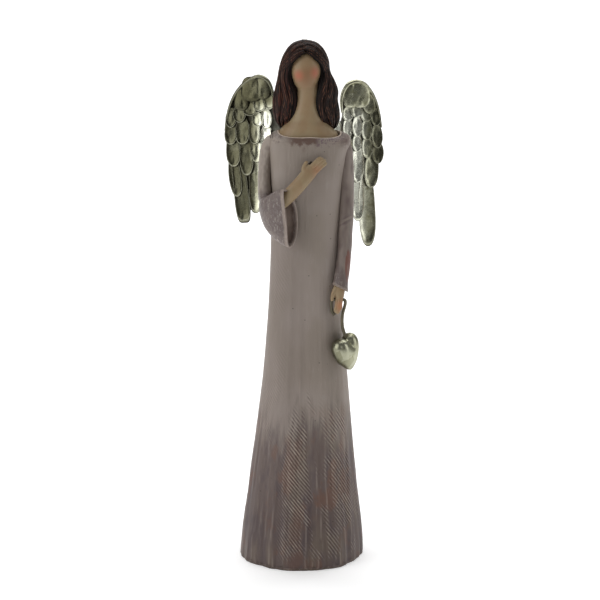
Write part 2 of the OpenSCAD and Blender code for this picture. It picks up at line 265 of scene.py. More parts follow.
class Paint:
    """A node material under construction, whose colour is built up coat by coat."""

    def __init__(self, name):
        self.material = bpy.data.materials.new(name)
        self.material.use_nodes = True
        self.tree = self.material.node_tree
        self.tree.nodes.clear()
        self.colour = None
        out = self.tree.nodes.new("ShaderNodeOutputMaterial")
        self.shader = self.tree.nodes.new("ShaderNodeBsdfPrincipled")
        self.tree.links.new(self.shader.outputs[0], out.inputs["Surface"])
        place = self.tree.nodes.new("ShaderNodeTexCoord").outputs["Object"]
        self.place = self.vector("SCALE", {0: place, "Scale": 1 / MM})
        self.x, self.y, self.z = self.node("ShaderNodeSeparateXYZ", {0: self.place}).outputs

    def feed(self, socket, value):
        """Links a socket to another node's output, or sets it to a plain value."""
        if isinstance(value, bpy.types.NodeSocket):
            self.tree.links.new(value, socket)
        else:
            socket.default_value = value

    def node(self, kind, inputs, **settings):
        n = self.tree.nodes.new(kind)
        for key, value in settings.items():
            setattr(n, key, value)
        for key, value in inputs.items():
            self.feed(n.inputs[key], value)
        return n

    def set(self, **inputs):
        """Sets the shader's sockets; underscores stand for spaces."""
        for key, value in inputs.items():
            self.feed(self.shader.inputs[key.replace("_", " ")], value)

    def vector(self, operation, inputs, out=0):
        return self.node("ShaderNodeVectorMath", inputs, operation=operation).outputs[out]

    def maths(self, operation, a, b=0.0, c=0.0):
        return self.node("ShaderNodeMath", {0: a, 1: b, 2: c}, operation=operation).outputs[0]

    def times(self, *factors):
        out = factors[0]
        for f in factors[1:]:
            out = self.maths("MULTIPLY", out, f)
        return out

    def plus(self, a, b):
        return self.maths("ADD", a, b)

    def jitter(self, value, span):
        """A value from 0 to 1 as a shift of up to half the span either way."""
        return self.maths("MULTIPLY_ADD", value, span, -span / 2)

    def step(self, value, low, high, to_low=0.0, to_high=1.0):
        """A soft step from to_low at low to to_high at high."""
        if low > high:
            low, high, to_low, to_high = high, low, to_high, to_low
        inputs = {0: value, 1: low, 2: high, 3: to_low, 4: to_high}
        return self.node("ShaderNodeMapRange", inputs, interpolation_type="SMOOTHSTEP").outputs[0]

    def mapped(self, scale, shift):
        inputs = {"Vector": self.place, "Scale": scale, "Location": (shift, 0, 0)}
        return self.node("ShaderNodeMapping", inputs).outputs[0]

    def grain(self, size, tall=1, detail=3.0, rough=0.55, shift=0.0):
        """Noise from 0 to 1 whose features are about size millimetres across and tall times as high."""
        where = self.mapped((1 / size, 1 / size, 1 / (size * tall)), shift)
        inputs = {"Vector": where, "Scale": 1.0, "Detail": detail, "Roughness": rough}
        return self.node("ShaderNodeTexNoise", inputs).outputs["Fac"]

    def cells(self, size, shift=0.0):
        where = self.mapped((1 / size,) * 3, shift)
        return self.node("ShaderNodeTexVoronoi", {"Vector": where, "Scale": 1.0})

    def value(self, key):
        return self.node("ShaderNodeAttribute", {}, attribute_name=key).outputs["Fac"]

    def blend(self, share, a, b):
        return self.node("ShaderNodeMix", {0: share, 6: a, 7: b}, data_type="RGBA").outputs[2]

    def coat(self, tint, *shares):
        """Lays a tint over the colour so far, as thick as the shares multiplied together."""
        self.colour = self.blend(self.times(*shares), self.colour, tint)

    def spot(self, x, y, z, radius, stretch=(1, 1, 1)):
        """1 at a point, fading to 0 at the radius."""
        offset = self.vector("SUBTRACT", {0: self.place, 1: (x, y, z)})
        scaled = self.vector("MULTIPLY", {0: offset, 1: stretch})
        return self.step(self.vector("LENGTH", {0: scaled}, "Value"), radius, 0.0)

    def bump(self, height, depth_mm):
        inputs = {"Height": height, "Distance": depth_mm * MM, "Strength": 1.0}
        return self.node("ShaderNodeBump", inputs).outputs[0]


MAUVE_GREY = srgb(150, 139, 131)
WARM_GREY = srgb(140, 129, 119)
PALE_GREY = srgb(176, 168, 160)
MAUVE_BROWN = srgb(92, 78, 74)
DARK_MAUVE = srgb(74, 62, 66)
RUST_BROWN = srgb(106, 74, 60)
OLIVE_TAN = srgb(114, 101, 86)
WASH = srgb(70, 52, 44)
DRY_BRUSH = srgb(186, 172, 158)
CLOTH_BUMP = 0.12


def cloth_base(name):
    """The matt mauve-grey ground of the gown and both sleeves."""
    p = Paint(name)
    p.fine = p.grain(0.8, 10, 3, 0.6, 7.0)
    p.cloud = p.grain(22, 1.6, 2, 0.5, 3.0)
    p.colour = p.blend(p.step(p.cloud, 0.35, 0.65), MAUVE_GREY, WARM_GREY)
    p.coat(PALE_GREY, p.step(p.fine, 0.55, 0.8), 0.25)
    p.height = p.maths("MULTIPLY_ADD", p.fine, 0.5, p.times(p.grain(0.5, 1, 3, 0.6, 2.0), 0.35))
    p.rough = p.step(p.cloud, 0.3, 0.7, 0.62, 0.5)
    return p


def grooves_and_ridges(p):
    """How deep in a groove, and how far up on a ridge, each place is, from 0 to 1."""
    hollow = p.value("recess")
    return p.step(hollow, 0.54, 0.74), p.step(hollow, 0.46, 0.34)


def wash_and_brush(p, groove, ridge, brush):
    """A brown wash in the grooves and pale dry brushing on the ridges."""
    p.coat(WASH, groove, 0.85)
    p.coat(DRY_BRUSH, ridge, brush, 1.6)


def sleeve_paint(name, brush, painted_shade, patch=None):
    """The gown's paint darkened by painted shade, with a darker bell, a painted highlight along the pale rim,
    and a lining of its own painted lighter near the mouth and darker deeper in, as painted light.
    """
    p = cloth_base(name)
    # Painted shade: patchy mauve brown that darkens the whole sleeve, most of all on the left sleeve.
    p.coat(MAUVE_BROWN, p.step(p.grain(7, 3, 3, 0.6, 61.0), 0.3, 0.7, painted_shade * 0.7, min(1.0, painted_shade * 1.3)))
    bell, inside = p.value("bell"), p.value("inside")
    groove, ridge = grooves_and_ridges(p)
    ridge = p.times(ridge, p.maths("MULTIPLY_ADD", bell, -0.7, 1.0))
    groove = p.times(groove, p.maths("MULTIPLY_ADD", inside, -0.85, 1.0))
    dabs = p.step(p.grain(1.2, 2, 4, 0.7, 5.0), 0.54, 0.62)
    cover = p.step(p.grain(5, 1, 4, 0.7, 9.0), 0.3, 0.56, 0.75, 0.95)
    p.coat(srgb(90, 76, 73), cover, bell)
    p.coat(PALE_GREY, dabs, bell, 0.36)
    # Painted light in the lining: pale near the mouth, where a highlight lies, and darker higher up inside,
    # where shade falls.
    p.coat(p.blend(p.step(p.z, 202, 212), srgb(168, 152, 142), srgb(108, 93, 85)), inside)
    wash_and_brush(p, groove, ridge, brush)
    # A painted highlight: the pale line along the rim.
    p.coat(srgb(158, 143, 132), p.value("rim"), p.step(dabs, 0.0, 1.0, 0.6, 0.85))
    if patch:
        ragged = p.step(p.grain(2.4, 5, 3, 0.6, 31.0), 0.3, 0.42)
        p.coat(srgb(112, 68, 56), p.step(p.spot(*patch), 0.16, 0.4), ragged, 0.85)
    crust = p.times(p.grain(1.8, 1, 4, 0.65, 71.0), bell, 3.2)
    rough = p.maths("MULTIPLY_ADD", bell, -0.17, p.rough)
    p.set(Base_Color=p.colour, Roughness=rough, Specular_IOR_Level=0.5)
    p.set(Normal=p.bump(p.plus(p.height, crust), CLOTH_BUMP))
    return p.material


def lower_wash(p):
    """The wash that thickens towards the hem, mixed from four browns."""
    streaks = p.grain(2.6, 16, 4, 0.6)
    height = p.plus(p.z, p.plus(p.jitter(streaks, -74.0), p.jitter(p.cloud, -50)))
    low = p.step(height, 104, 62)
    thick = p.step(height, 74, 36)
    dark = MAUVE_BROWN
    for tint, share, grain, start, full in (
        (OLIVE_TAN, 0.6, (8, 5, 3, 0.5, 11.0), 0.48, 0.66),
        (DARK_MAUVE, 0.75, (9, 3, 4, 0.6, 17.0), 0.48, 0.62),
        (RUST_BROWN, 0.7, (12, 2.2, 4, 0.65, 23.0), 0.5, 0.6),
    ):
        dark = p.blend(p.times(p.step(p.grain(*grain), start, full), share), dark, tint)
    dark = p.blend(p.step(p.z, 60, 10, 0.0, 0.3), dark, srgb(56, 42, 40))
    p.coat(dark, low, 0.8)
    p.coat(dark, thick, 0.8)
    p.coat(DRY_BRUSH, p.step(p.fine, 0.6, 0.75), p.step(streaks, 0.45, 0.62), low, 0.12)


def comb_coats(p):
    """Broken pale crests and dark troughs on the combed lines, which also join the relief."""
    line = p.maths("SINE", p.value("comb"))
    mask = p.value("combed")
    broken = p.step(p.grain(4.2, 1.6, 4, 0.65, 41.0), 0.4, 0.6)
    patchy = p.step(p.grain(15, 1.4, 3, 0.6, 81.0), 0.42, 0.56, 0.15, 1.0)
    crest = p.times(p.step(line, 0.25, 0.95), mask)
    p.coat(DRY_BRUSH, crest, p.times(broken, patchy), p.step(p.z, 150, 70), 0.5)
    p.coat(DARK_MAUVE, p.step(line, -0.2, -0.9), mask, 0.26)
    p.height = p.plus(p.height, p.times(line, mask, 0.8))


def collar_coats(p, dab):
    """Dabbed paint below the neckline and on the shoulders, and a painted highlight on the pale lip."""
    front = p.step(p.y, 2, -4)
    band = p.times(p.step(p.plus(p.value("collar"), p.jitter(dab, -9.0)), 6.2, 3.4), front)
    middle = p.times(p.step(p.x, -10, -4), p.step(p.x, 11, 7))
    p.coat(srgb(88, 64, 55), band, middle, 0.85)
    speckle = p.step(p.grain(0.9, 1, 3, 0.7, 3.0), 0.48, 0.56)
    p.coat(srgb(104, 84, 92), band, p.step(p.x, 6, 10), speckle, 0.8)
    p.coat(srgb(100, 82, 76), band, p.step(p.x, -6, -12), p.step(dab, 0.42, 0.6), 0.75)
    near_middle = p.step(p.maths("ABSOLUTE", p.plus(p.x, -1.0)), 1.5, 0.2)
    drip = p.times(near_middle, p.step(p.z, 236, 242), front)
    p.coat(srgb(92, 70, 62), drip, p.step(dab, 0.35, 0.6), 0.6)
    p.coat(srgb(84, 62, 56), p.spot(23.6, -6, 244.5, 6.5, (1, 0.5, 1)), p.step(dab, 0.34, 0.46), 0.75)
    # A painted highlight along the pale rolled lip of the neckline.
    p.coat(srgb(214, 196, 178), p.step(p.value("collar"), 1.05, 0.7), p.step(dab, 0.3, 0.5, 0.55, 0.9))


def gown_paint():
    """Washed and combed below, with painted shade low on the left, dabbed at the collar, with specks all over
    and a darker hem.
    """
    p = cloth_base("gown_paint")
    lower_wash(p)
    wash_and_brush(p, *grooves_and_ridges(p), 0.14)
    # Painted shade: mauve brown darkening the gown below the arms, towards the left of the picture.
    p.coat(MAUVE_BROWN, p.step(p.z, 215, 180), p.step(p.x, 10, -6), 0.2)
    comb_coats(p)
    dab = p.grain(3.2, 1, 4, 0.7, 51.0)
    collar_coats(p, dab)
    # The shadow painted between thumb and first finger.
    for x, z in ((3.4, 231.0), (4.2, 231.8), (5.0, 232.6)):
        p.coat(srgb(30, 23, 20), p.step(p.spot(x, -15.4, z, 1.25), 0.1, 0.5), 0.9)
    p.coat(srgb(48, 40, 38), p.step(p.cells(7.0, 4.0).outputs["Distance"], 0.055, 0.03), 0.85)
    # Darker along the hem.
    p.coat(srgb(58, 45, 39), p.step(p.plus(p.z, p.jitter(dab, -9.0)), 2.6, 0.4), 0.7)
    p.set(Base_Color=p.colour, Roughness=p.rough, Specular_IOR_Level=0.35)
    p.set(Normal=p.bump(p.height, CLOTH_BUMP))
    return p.material


SKIN = srgb(150, 131, 101)
SKIN_WARM = srgb(146, 122, 92)


def skin_paint(name, spots):
    """Satin flesh paint with soft patches of colour, blush on the cheeks among them; each patch is a spot, its
    colour and its share.
    """
    p = Paint(name)
    cloud = p.grain(6, 1.4, 3, 0.5)
    p.colour = p.blend(p.step(cloud, 0.35, 0.65), SKIN, SKIN_WARM)
    for spot, spot_tint, share in spots:
        p.coat(spot_tint, p.spot(*spot), share)
    p.coat(srgb(74, 50, 34), p.step(p.value("recess"), 0.58, 0.95), 0.8)
    p.set(Base_Color=p.colour, Roughness=p.step(cloud, 0.3, 0.7, 0.5, 0.42), Specular_IOR_Level=0.4)
    p.set(Normal=p.bump(p.grain(0.9, 1, 3, 0.5, 5.0), 0.03))
    return p.material


def hair_paint():
    """Dark brown, with a painted highlight of reddish brown on the ridges of the locks and painted shade in
    the grooves between them.
    """
    p = Paint("hair_paint")
    strand = p.value("recess")
    cloud = p.grain(7, 3, 3, 0.6)
    tone = p.plus(p.times(p.value("tone"), 0.6), p.step(cloud, 0.35, 0.7, 0.0, 0.4))
    p.colour = p.blend(tone, srgb(18, 11, 9), srgb(38, 24, 20))
    streak = p.step(p.grain(1.2, 9, 3, 0.6, 19.0), 0.46, 0.6)
    red = p.times(p.step(p.x, 3, -6), p.step(p.z, 300, 256, 0.45, 1.0), streak, p.step(p.y, 6, 0))
    p.coat(srgb(84, 38, 29), red, 0.5)
    # A painted highlight: reddish-brown streaks along the ridges of the locks.
    strand_highlight = p.step(p.grain(0.8, 26, 3, 0.6, 4.0), 0.48, 0.6)
    p.coat(srgb(112, 76, 58), p.step(strand, 0.4, 0.02), strand_highlight, 0.75)
    # Painted shade: near black in the combed lines and between the locks.
    p.coat(srgb(9, 6, 5), p.step(strand, 0.3, 0.8, 0.0, 0.95))
    rough = p.step(p.grain(3, 4, 3, 0.5), 0.3, 0.7, 0.62, 0.46)
    p.set(Base_Color=p.colour, Roughness=rough, Specular_IOR_Level=0.14)
    p.set(Normal=p.bump(p.grain(0.5, 12, 3, 0.6), 0.06))
    return p.material


def leaf_paint(name, dark=0.9, tarnish=None, crinkle=0.06, top=None, bright=None, polish=0.2):
    """Champagne metal leaf, worn thin in places, with a dark olive wash in the hollows and a painted highlight
    on the ridges and rims.

    The dark reflection argument is where a painted dark reflection starts and is full along x, and its share.
    Top is the share of painted dark reflection high up.
    The next argument is where a painted near-white reflection, on the side of a wing nearer the body, starts
    and is full along x.
    """
    p = Paint(name)
    tone = p.node("ShaderNodeSeparateColor", {0: p.cells(5.0).outputs["Color"]}).outputs[0]
    cloud = p.grain(4, 1, 4, 0.65)
    p.colour = p.blend(tone, srgb(158, 157, 132), srgb(186, 186, 162))
    p.coat(srgb(132, 130, 102), p.step(cloud, 0.5, 0.72))
    hollow = p.value("recess")
    wash = p.times(p.step(p.plus(hollow, p.jitter(cloud, 0.36)), 0.3, 0.8), dark)
    # Painted dark reflection: the leaf darkened from one place along x to another, with a ragged edge.
    if tarnish:
        start, full, share = tarnish
        ragged = p.plus(p.x, p.jitter(p.grain(6, 2, 4, 0.6, 12.0), 9.0))
        p.coat(srgb(66, 64, 48), p.step(ragged, start, full, 0.0, share))
    # Painted dark reflection high up on the wing.
    if top:
        p.coat(srgb(74, 72, 54), p.step(p.z, 255, 264, 0.0, top))
    # Painted reflection: near white on the leaf nearer the body, below the top of the wing.
    if bright:
        p.coat(srgb(240, 241, 226), p.times(p.step(p.x, *bright), p.step(p.z, 262, 252)), 0.85)
    # Painted highlight: paler leaf on the ridges and rims.
    p.coat(srgb(206, 205, 184), p.step(hollow, 0.2, 0.0, 0.0, 0.4))
    p.coat(srgb(50, 46, 32), wash)
    p.set(Base_Color=p.colour, Metallic=p.step(wash, 0.0, 1.0, 1.0, 0.6))
    p.set(Roughness=p.plus(p.times(wash, 0.25), p.step(cloud, 0.25, 0.75, polish, polish + 0.14)))
    wrinkles = p.plus(p.grain(1.6, 1, 4, 0.6, 8.0), p.times(tone, 0.12))
    p.set(Normal=p.bump(wrinkles, crinkle))
    return p.material


def metal_paint(name, colour, rough):
    """Plain metal, drawn or turned, a little uneven."""
    p = Paint(name)
    cloud = p.grain(1.0, 6, 3, 0.6)
    shaded = tuple(c * 0.7 for c in colour[:3]) + (1.0,)
    p.set(Base_Color=p.blend(p.step(cloud, 0.3, 0.7), colour, shaded), Metallic=1.0)
    p.set(Roughness=p.step(cloud, 0.3, 0.7, rough, rough + 0.15), Normal=p.bump(cloud, 0.02))
    return p.material


def resin_paint():
    p = Paint("resin_paint")
    cloud = p.grain(2, 1, 4, 0.6)
    p.set(Base_Color=p.blend(cloud, srgb(196, 188, 172), srgb(178, 168, 150)), Roughness=0.7)
    p.set(Normal=p.bump(cloud, 0.1))
    return p.material


# ---- gown ----

SHOULDER_Z = 249.6
# Height, left and right edge of the gown seen from the front, and half of its depth.
GOWN_ROWS = [
    (0, -36.5, 35.4, 34.9), (4, -36.2, 35.4, 34.7), (19, -34.6, 34.4, 33.1), (37, -31.8, 32.5, 30.4),
    (55, -29.4, 30.7, 27.9), (74, -26.8, 29.1, 25.4), (92, -24.5, 27.6, 23.2), (106, -22.8, 26.4, 21.4),
    (128, -20.8, 24.7, 19.2), (152, -19.0, 22.9, 17.2), (180, -17.8, 21.8, 15.8), (205, -17.5, 22.4, 15.5),
    (220, -17.6, 23.2, 15.5), (230, -18.2, 24.6, 15.5), (236, -18.7, 25.6, 15.4), (240, -18.9, 26.5, 15.2),
    (243, -18.9, 27.2, 14.9), (245.6, -18.4, 27.3, 14.6), (247.8, -17.2, 26.4, 14.1),
    (249, -15.4, 24.2, 13.6),
    (SHOULDER_Z, -13.6, 22.0, 13.0),
]
TRUNK_TOP = 212
NECK_DROP = 3.1     # how far the neckline dips in front
COMB_PITCH = 1.62
COMB_DEPTH = 0.075
COMB_TILT = math.radians(60)


def gown_size(z):
    left, right, depth = np.moveaxis(curve(GOWN_ROWS, z), -1, 0)
    return (left + right) / 2, (right - left) / 2, depth


def squareness(z):
    return mix(2.5, 2.08, np.clip(1 - z / 200, 0, 1) ** 1.5)


def gown_share(p):
    """Where points lie against the gown at their own height: under 1 is inside it."""
    x0, a, b = gown_size(np.minimum(p[..., 2], TRUNK_TOP))
    e = squareness(p[..., 2])
    return (abs((p[..., 0] - x0) / a) ** e + abs(p[..., 1] / b) ** e) ** (1 / e)


def outside_gown(p, gap):
    """Points in the gown, or nearer than the gap, moved straight out from its axis."""
    x0, _, b = gown_size(np.minimum(p[..., 2], TRUNK_TOP))
    least = 1 + gap / b
    share = np.maximum(gown_share(p), 0.05)
    k = np.where(share < least, least / share, 1.0)
    return xyz(x0 + (p[..., 0] - x0) * k, p[..., 1] * k, p[..., 2])


def neck_lean(c):
    """How far the ends of the neckline hang below its middle, more on the right of the picture."""
    return (1.35 + 0.55 * c) * abs(c)


def gown_relief(t, h, x, y, arc):
    """How far the gown stands out from its plain form, the comb's phase, and where it was drawn."""
    c, s = np.cos(t), np.sin(t)
    low = np.clip(1 - h / 200, 0, 1) ** 1.5
    ring = xyz(np.cos(t) * 7, np.sin(t) * 7, h / 60)
    out = 0.4 * low * (np.cos(7 * t + 0.35) + 0.5 * np.cos(4 * t - 0.7))
    out += (0.10 + 0.42 * low) * noise(ring * np.array([1.1, 1.1, 1.0]), 3)
    out += (0.05 + 0.14 * smooth(130, 40, h)) * noise(xyz(c * 16, s * 16, h / 26), 5)
    out += 0.05 * noise(xyz(x / 1.2, y / 1.2, h / 7), 9)
    # Combed lines lie in ragged patches, most of them low on the left front and side.
    comb = 2 * np.pi * (arc * math.sin(COMB_TILT) + h * math.cos(COMB_TILT)) / COMB_PITCH
    comb = comb + 1.1 * noise(xyz(arc / 9, h / 14, 0), 21)
    patch = noise(xyz(arc / 9, h / 17, 3), 13) + 0.55 * noise(xyz(arc / 3.4, h / 7, 5), 17)
    ragged = h + 13 * noise(xyz(arc / 5, 0.5, 2), 19) + 6 * noise(xyz(arc / 1.6, h / 9, 7), 23)
    lower = smooth(-0.12, 0.62, patch + 0.26) * smooth(96, 80, ragged) * smooth(4, 14, h)
    lower = lower * smooth(1.25, 0.9, abs(t + 0.85))
    side = 0.3 * smooth(-0.1, 0.5, patch) * smooth(0.55, 0.25, abs(t + 2.45))
    side = side * smooth(60, 90, h) * smooth(200, 160, h)
    back_side = 0.6 * smooth(0.0, 0.5, patch) * smooth(0.2, 0.7, t) * smooth(110, 70, ragged)
    combed = np.clip(lower + side + back_side, 0, 1)
    out += COMB_DEPTH * combed * np.sin(comb)
    out[0] -= 0.35
    out[1] -= 0.1
    return out, comb, combed


def make_gown():
    front, back = 290, 110
    angle = np.concatenate([
        np.linspace(-np.pi, 0, front, endpoint=False), np.linspace(0, np.pi, back, endpoint=False)
    ])
    z = np.concatenate([
        [0, 0.25], np.arange(0.8, 112, 0.46), np.linspace(112, 228, 150), np.linspace(228.6, SHOULDER_Z, 46)
    ])
    t, h = np.meshgrid(angle, z)
    x0, a, b = (v[:, None] for v in gown_size(z))
    e = squareness(z)[:, None]
    c, s = np.cos(t), np.sin(t)
    r = (abs(c) ** e + abs(s) ** e) ** (-1 / e)
    x, y = x0 + a * r * c, b * r * s
    out, comb, combed = gown_relief(t, h, x, y, t * (a + b) / 2)
    drop = NECK_DROP * np.clip((h - 235) / (SHOULDER_Z - 235), 0, 1)
    lean = neck_lean(c) * smooth(234, SHOULDER_Z, h)
    rows = [xyz(x + out * c, y + out * s, h - lean + drop * np.minimum(0, r * s))]
    # The neckline: a thin rolled lip, then a step down to the skin.
    lip = [(0.985, 249.7), (0.968, 249.6), (0.958, 249.1), (0.952, 247.4)]
    x0, a, b = (float(v) for v in gown_size(np.array(SHOULDER_Z)))
    r, c, s = r[-1], c[-1], s[-1]
    for share, height in lip:
        level = height - neck_lean(c) + NECK_DROP * np.minimum(0, r * s)
        rows.append(xyz(x0 + a * share * r * c, b * share * r * s, level)[None])
    # The underside is sunk where the base plug lies in its seat.
    plug_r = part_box("base_plug")[1][0] / MM
    seat = [xyz(plug_r * np.cos(angle), plug_r * np.sin(angle), depth)[None] for depth in (0.3, 0.0)]
    shape = Shape()
    rings = np.concatenate(seat + rows)
    pad = ((len(seat), len(lip)), (0, 0))
    rim = rings[-3]
    collar = np.linalg.norm(rings - rim[None], axis=-1)
    shape.loft(rings, recess=0.5, comb=np.pad(comb, pad, "edge"), combed=np.pad(combed, pad), collar=collar)
    data = shape.mesh("gown")
    at = points_of(data)
    near_rim = smooth(246.5, 248, at[:, 2] - NECK_DROP / b * np.minimum(0, at[:, 1]))
    # The mesh is coarser behind, so its ridges and grooves count for less there.
    quiet = smooth(-8, 0, at[:, 1]) * 0.85
    set_value(data, "recess", mix(hollows(data, 6, 0.1), 0.5, np.maximum(near_rim, quiet)))
    return piece("gown_casting", data, "figure", gown_paint(), ["gown"])


# ---- head, neck and hair ----

HEAD_X, FACE_Z = 2.3, 281.4
# Height, x and y of the middle, half-width, half-depth and squareness of the throat.
BUST_ROWS = [
    (244, 3.6, 0, 16.5, 11.6, 2.4), (247, 3.6, 0, 16.7, 11.6, 2.4), (249.4, 3.5, -0.2, 16.2, 11.0, 2.3),
    (251, 3.0, -0.5, 14.2, 10.2, 2.2), (252.6, 2.8, -0.8, 12.3, 9.3, 2.1), (254.2, 2.6, -1.0, 10.6, 8.4, 2),
    (256.2, 2.6, -1.3, 9.2, 7.6, 2), (258.8, 2.6, -1.5, 8.0, 6.9, 2), (262.8, 2.7, -1.8, 6.8, 6.2, 2),
    (267, 2.9, -2.0, 6.2, 5.8, 2), (272, 3.1, -2.2, 6.0, 5.7, 2), (280, 2.4, -2.2, 5.4, 5, 2),
    (284, 2, -2, 3, 4, 2),
]


def level_rings(rows, count, cols, drop=0.0):
    z = np.linspace(rows[0][0], rows[-1][0], count)
    x0, y0, a, b, e = np.moveaxis(curve(rows, z)[:, None], -1, 0)
    z = z[:, None]
    t = np.arange(cols) * 2 * np.pi / cols
    c, s = np.cos(t)[None], np.sin(t)[None]
    r = (abs(c) ** e + abs(s) ** e) ** (-1 / e)
    sink = (drop * np.minimum(0, r * s) - neck_lean(c)) * smooth(254, 247, z)
    return xyz(x0 + a * r * c, y0 + b * r * s, z + sink)


def egg(centre, radii, tip=0.0, cols=64, rows=48):
    """An egg whose lower end is drawn in by tip."""
    v = np.linspace(0.02, np.pi - 0.02, rows)[:, None]
    t = (np.arange(cols) * 2 * np.pi / cols)[None]
    drawn = 1 - tip * (1 + np.cos(v)) / 2
    return xyz(
        centre[0] + radii[0] * np.sin(v) * drawn * np.cos(t),
        centre[1] + radii[1] * np.sin(v) * drawn * np.sin(t),
        centre[2] - radii[2] * np.cos(v),
    )


def make_head():
    shape = Shape()
    shape.loft(level_rings(BUST_ROWS, 80, 96, 2.7))
    shape.loft(egg((HEAD_X - 0.2, -3.2, FACE_Z + 0.6), (9.2, 8.2, 11.8), 0.18))
    data = fuse(shape.mesh("head"), 0.3, "head")
    set_points(data, relax(data, points_of(data), 14))
    set_value(data, "recess", np.full(len(data.vertices), 0.4))
    spot_tint = srgb(176, 92, 66)
    paint = skin_paint("head_paint", [
        ((HEAD_X, -11, 279.5, 10, (1.1, 0.5, 0.8)), srgb(130, 92, 62), 0.85),
        ((HEAD_X - 4.4, -9.8, 280.4, 4.4, (1, 0.6, 0.9)), spot_tint, 0.7),
        ((HEAD_X + 5.2, -9.4, 281.8, 4.2, (1, 0.6, 0.8)), spot_tint, 0.7),
        # A near-black spot at the top of the forehead, just under the parting.
        ((HEAD_X - 1.4, -7, 292.6, 2.2, (0.8, 0.3, 1.3)), srgb(16, 11, 9), 1.0),
    ])
    return piece("head_and_neck_casting", data, "figure", paint, ["head_and_neck"])


HAIR_TOP = 298.9
# Height, left and right edge, y of the middle and half-depth of the hair.
HAIR_ROWS = [
    (240, -10.5, 14, 14, 3.6), (243, -12.4, 16, 12.6, 5.4), (247, -12.8, 18.4, 10, 7.8),
    (251, -13.6, 20.4, 6, 10.4),
    (255, -14.9, 21.0, 4, 11), (260, -16.0, 20.7, 2.8, 10.8), (266, -16.1, 19.7, 2, 11),
    (271, -15.0, 19.9, 1.5, 11.4),
    (276, -13.8, 18.2, 1.1, 11.8), (282, -12.7, 15.4, 0.7, 12.2), (287.4, -11.4, 14.7, 0.3, 12),
    (292, -9.3, 12.9, 0.1, 10.6),
    (295.4, -6.8, 10.3, 0, 8.4), (297.6, -3.8, 7.2, 0, 5.4), (298.6, -1.0, 4.2, 0, 2.6),
    (HAIR_TOP, 0.6, 2.6, 0, 0.8),
]
# Height and half-width of the opening round the face and neck.
OPENING_ROWS = [
    (246, 14), (250, 10.6), (254, 8.2), (258, 6.8), (262, 6), (266, 5.8), (271, 7.3), (275, 9.0),
    (280, 10.2), (284, 9.8),
    (287.2, 8.2), (289.6, 6.2), (291.8, 4.0), (293.6, 1.8), (295, 0.05), (301, 0.01),
]
HAIR_SQUARE = 2.15


def hair_size(z):
    left, right, y0, b = np.moveaxis(curve(HAIR_ROWS, z), -1, 0)
    return (left + right) / 2, (right - left) / 2, y0, b


def hair_point(angle, z, lift=0.0):
    """A point on the hair's outside at an angle from the right of the picture towards the back."""
    x0, a, y0, b = hair_size(z)
    c, s = np.cos(angle), np.sin(angle)
    r = (abs(c) ** HAIR_SQUARE + abs(s) ** HAIR_SQUARE) ** (-1 / HAIR_SQUARE)
    return xyz(x0 + (a + lift) * r * c, y0 + (b + lift) * r * s, z)


def edge_angle(z, half):
    """The angle at which the hair's opening ends on one side, as if that side were the right."""
    x0, a, _, _ = hair_size(z)
    reach = half * (HEAD_X + half * curve(OPENING_ROWS, z) - x0) / a
    return -np.arccos(np.clip(reach, 0.01, 0.98))


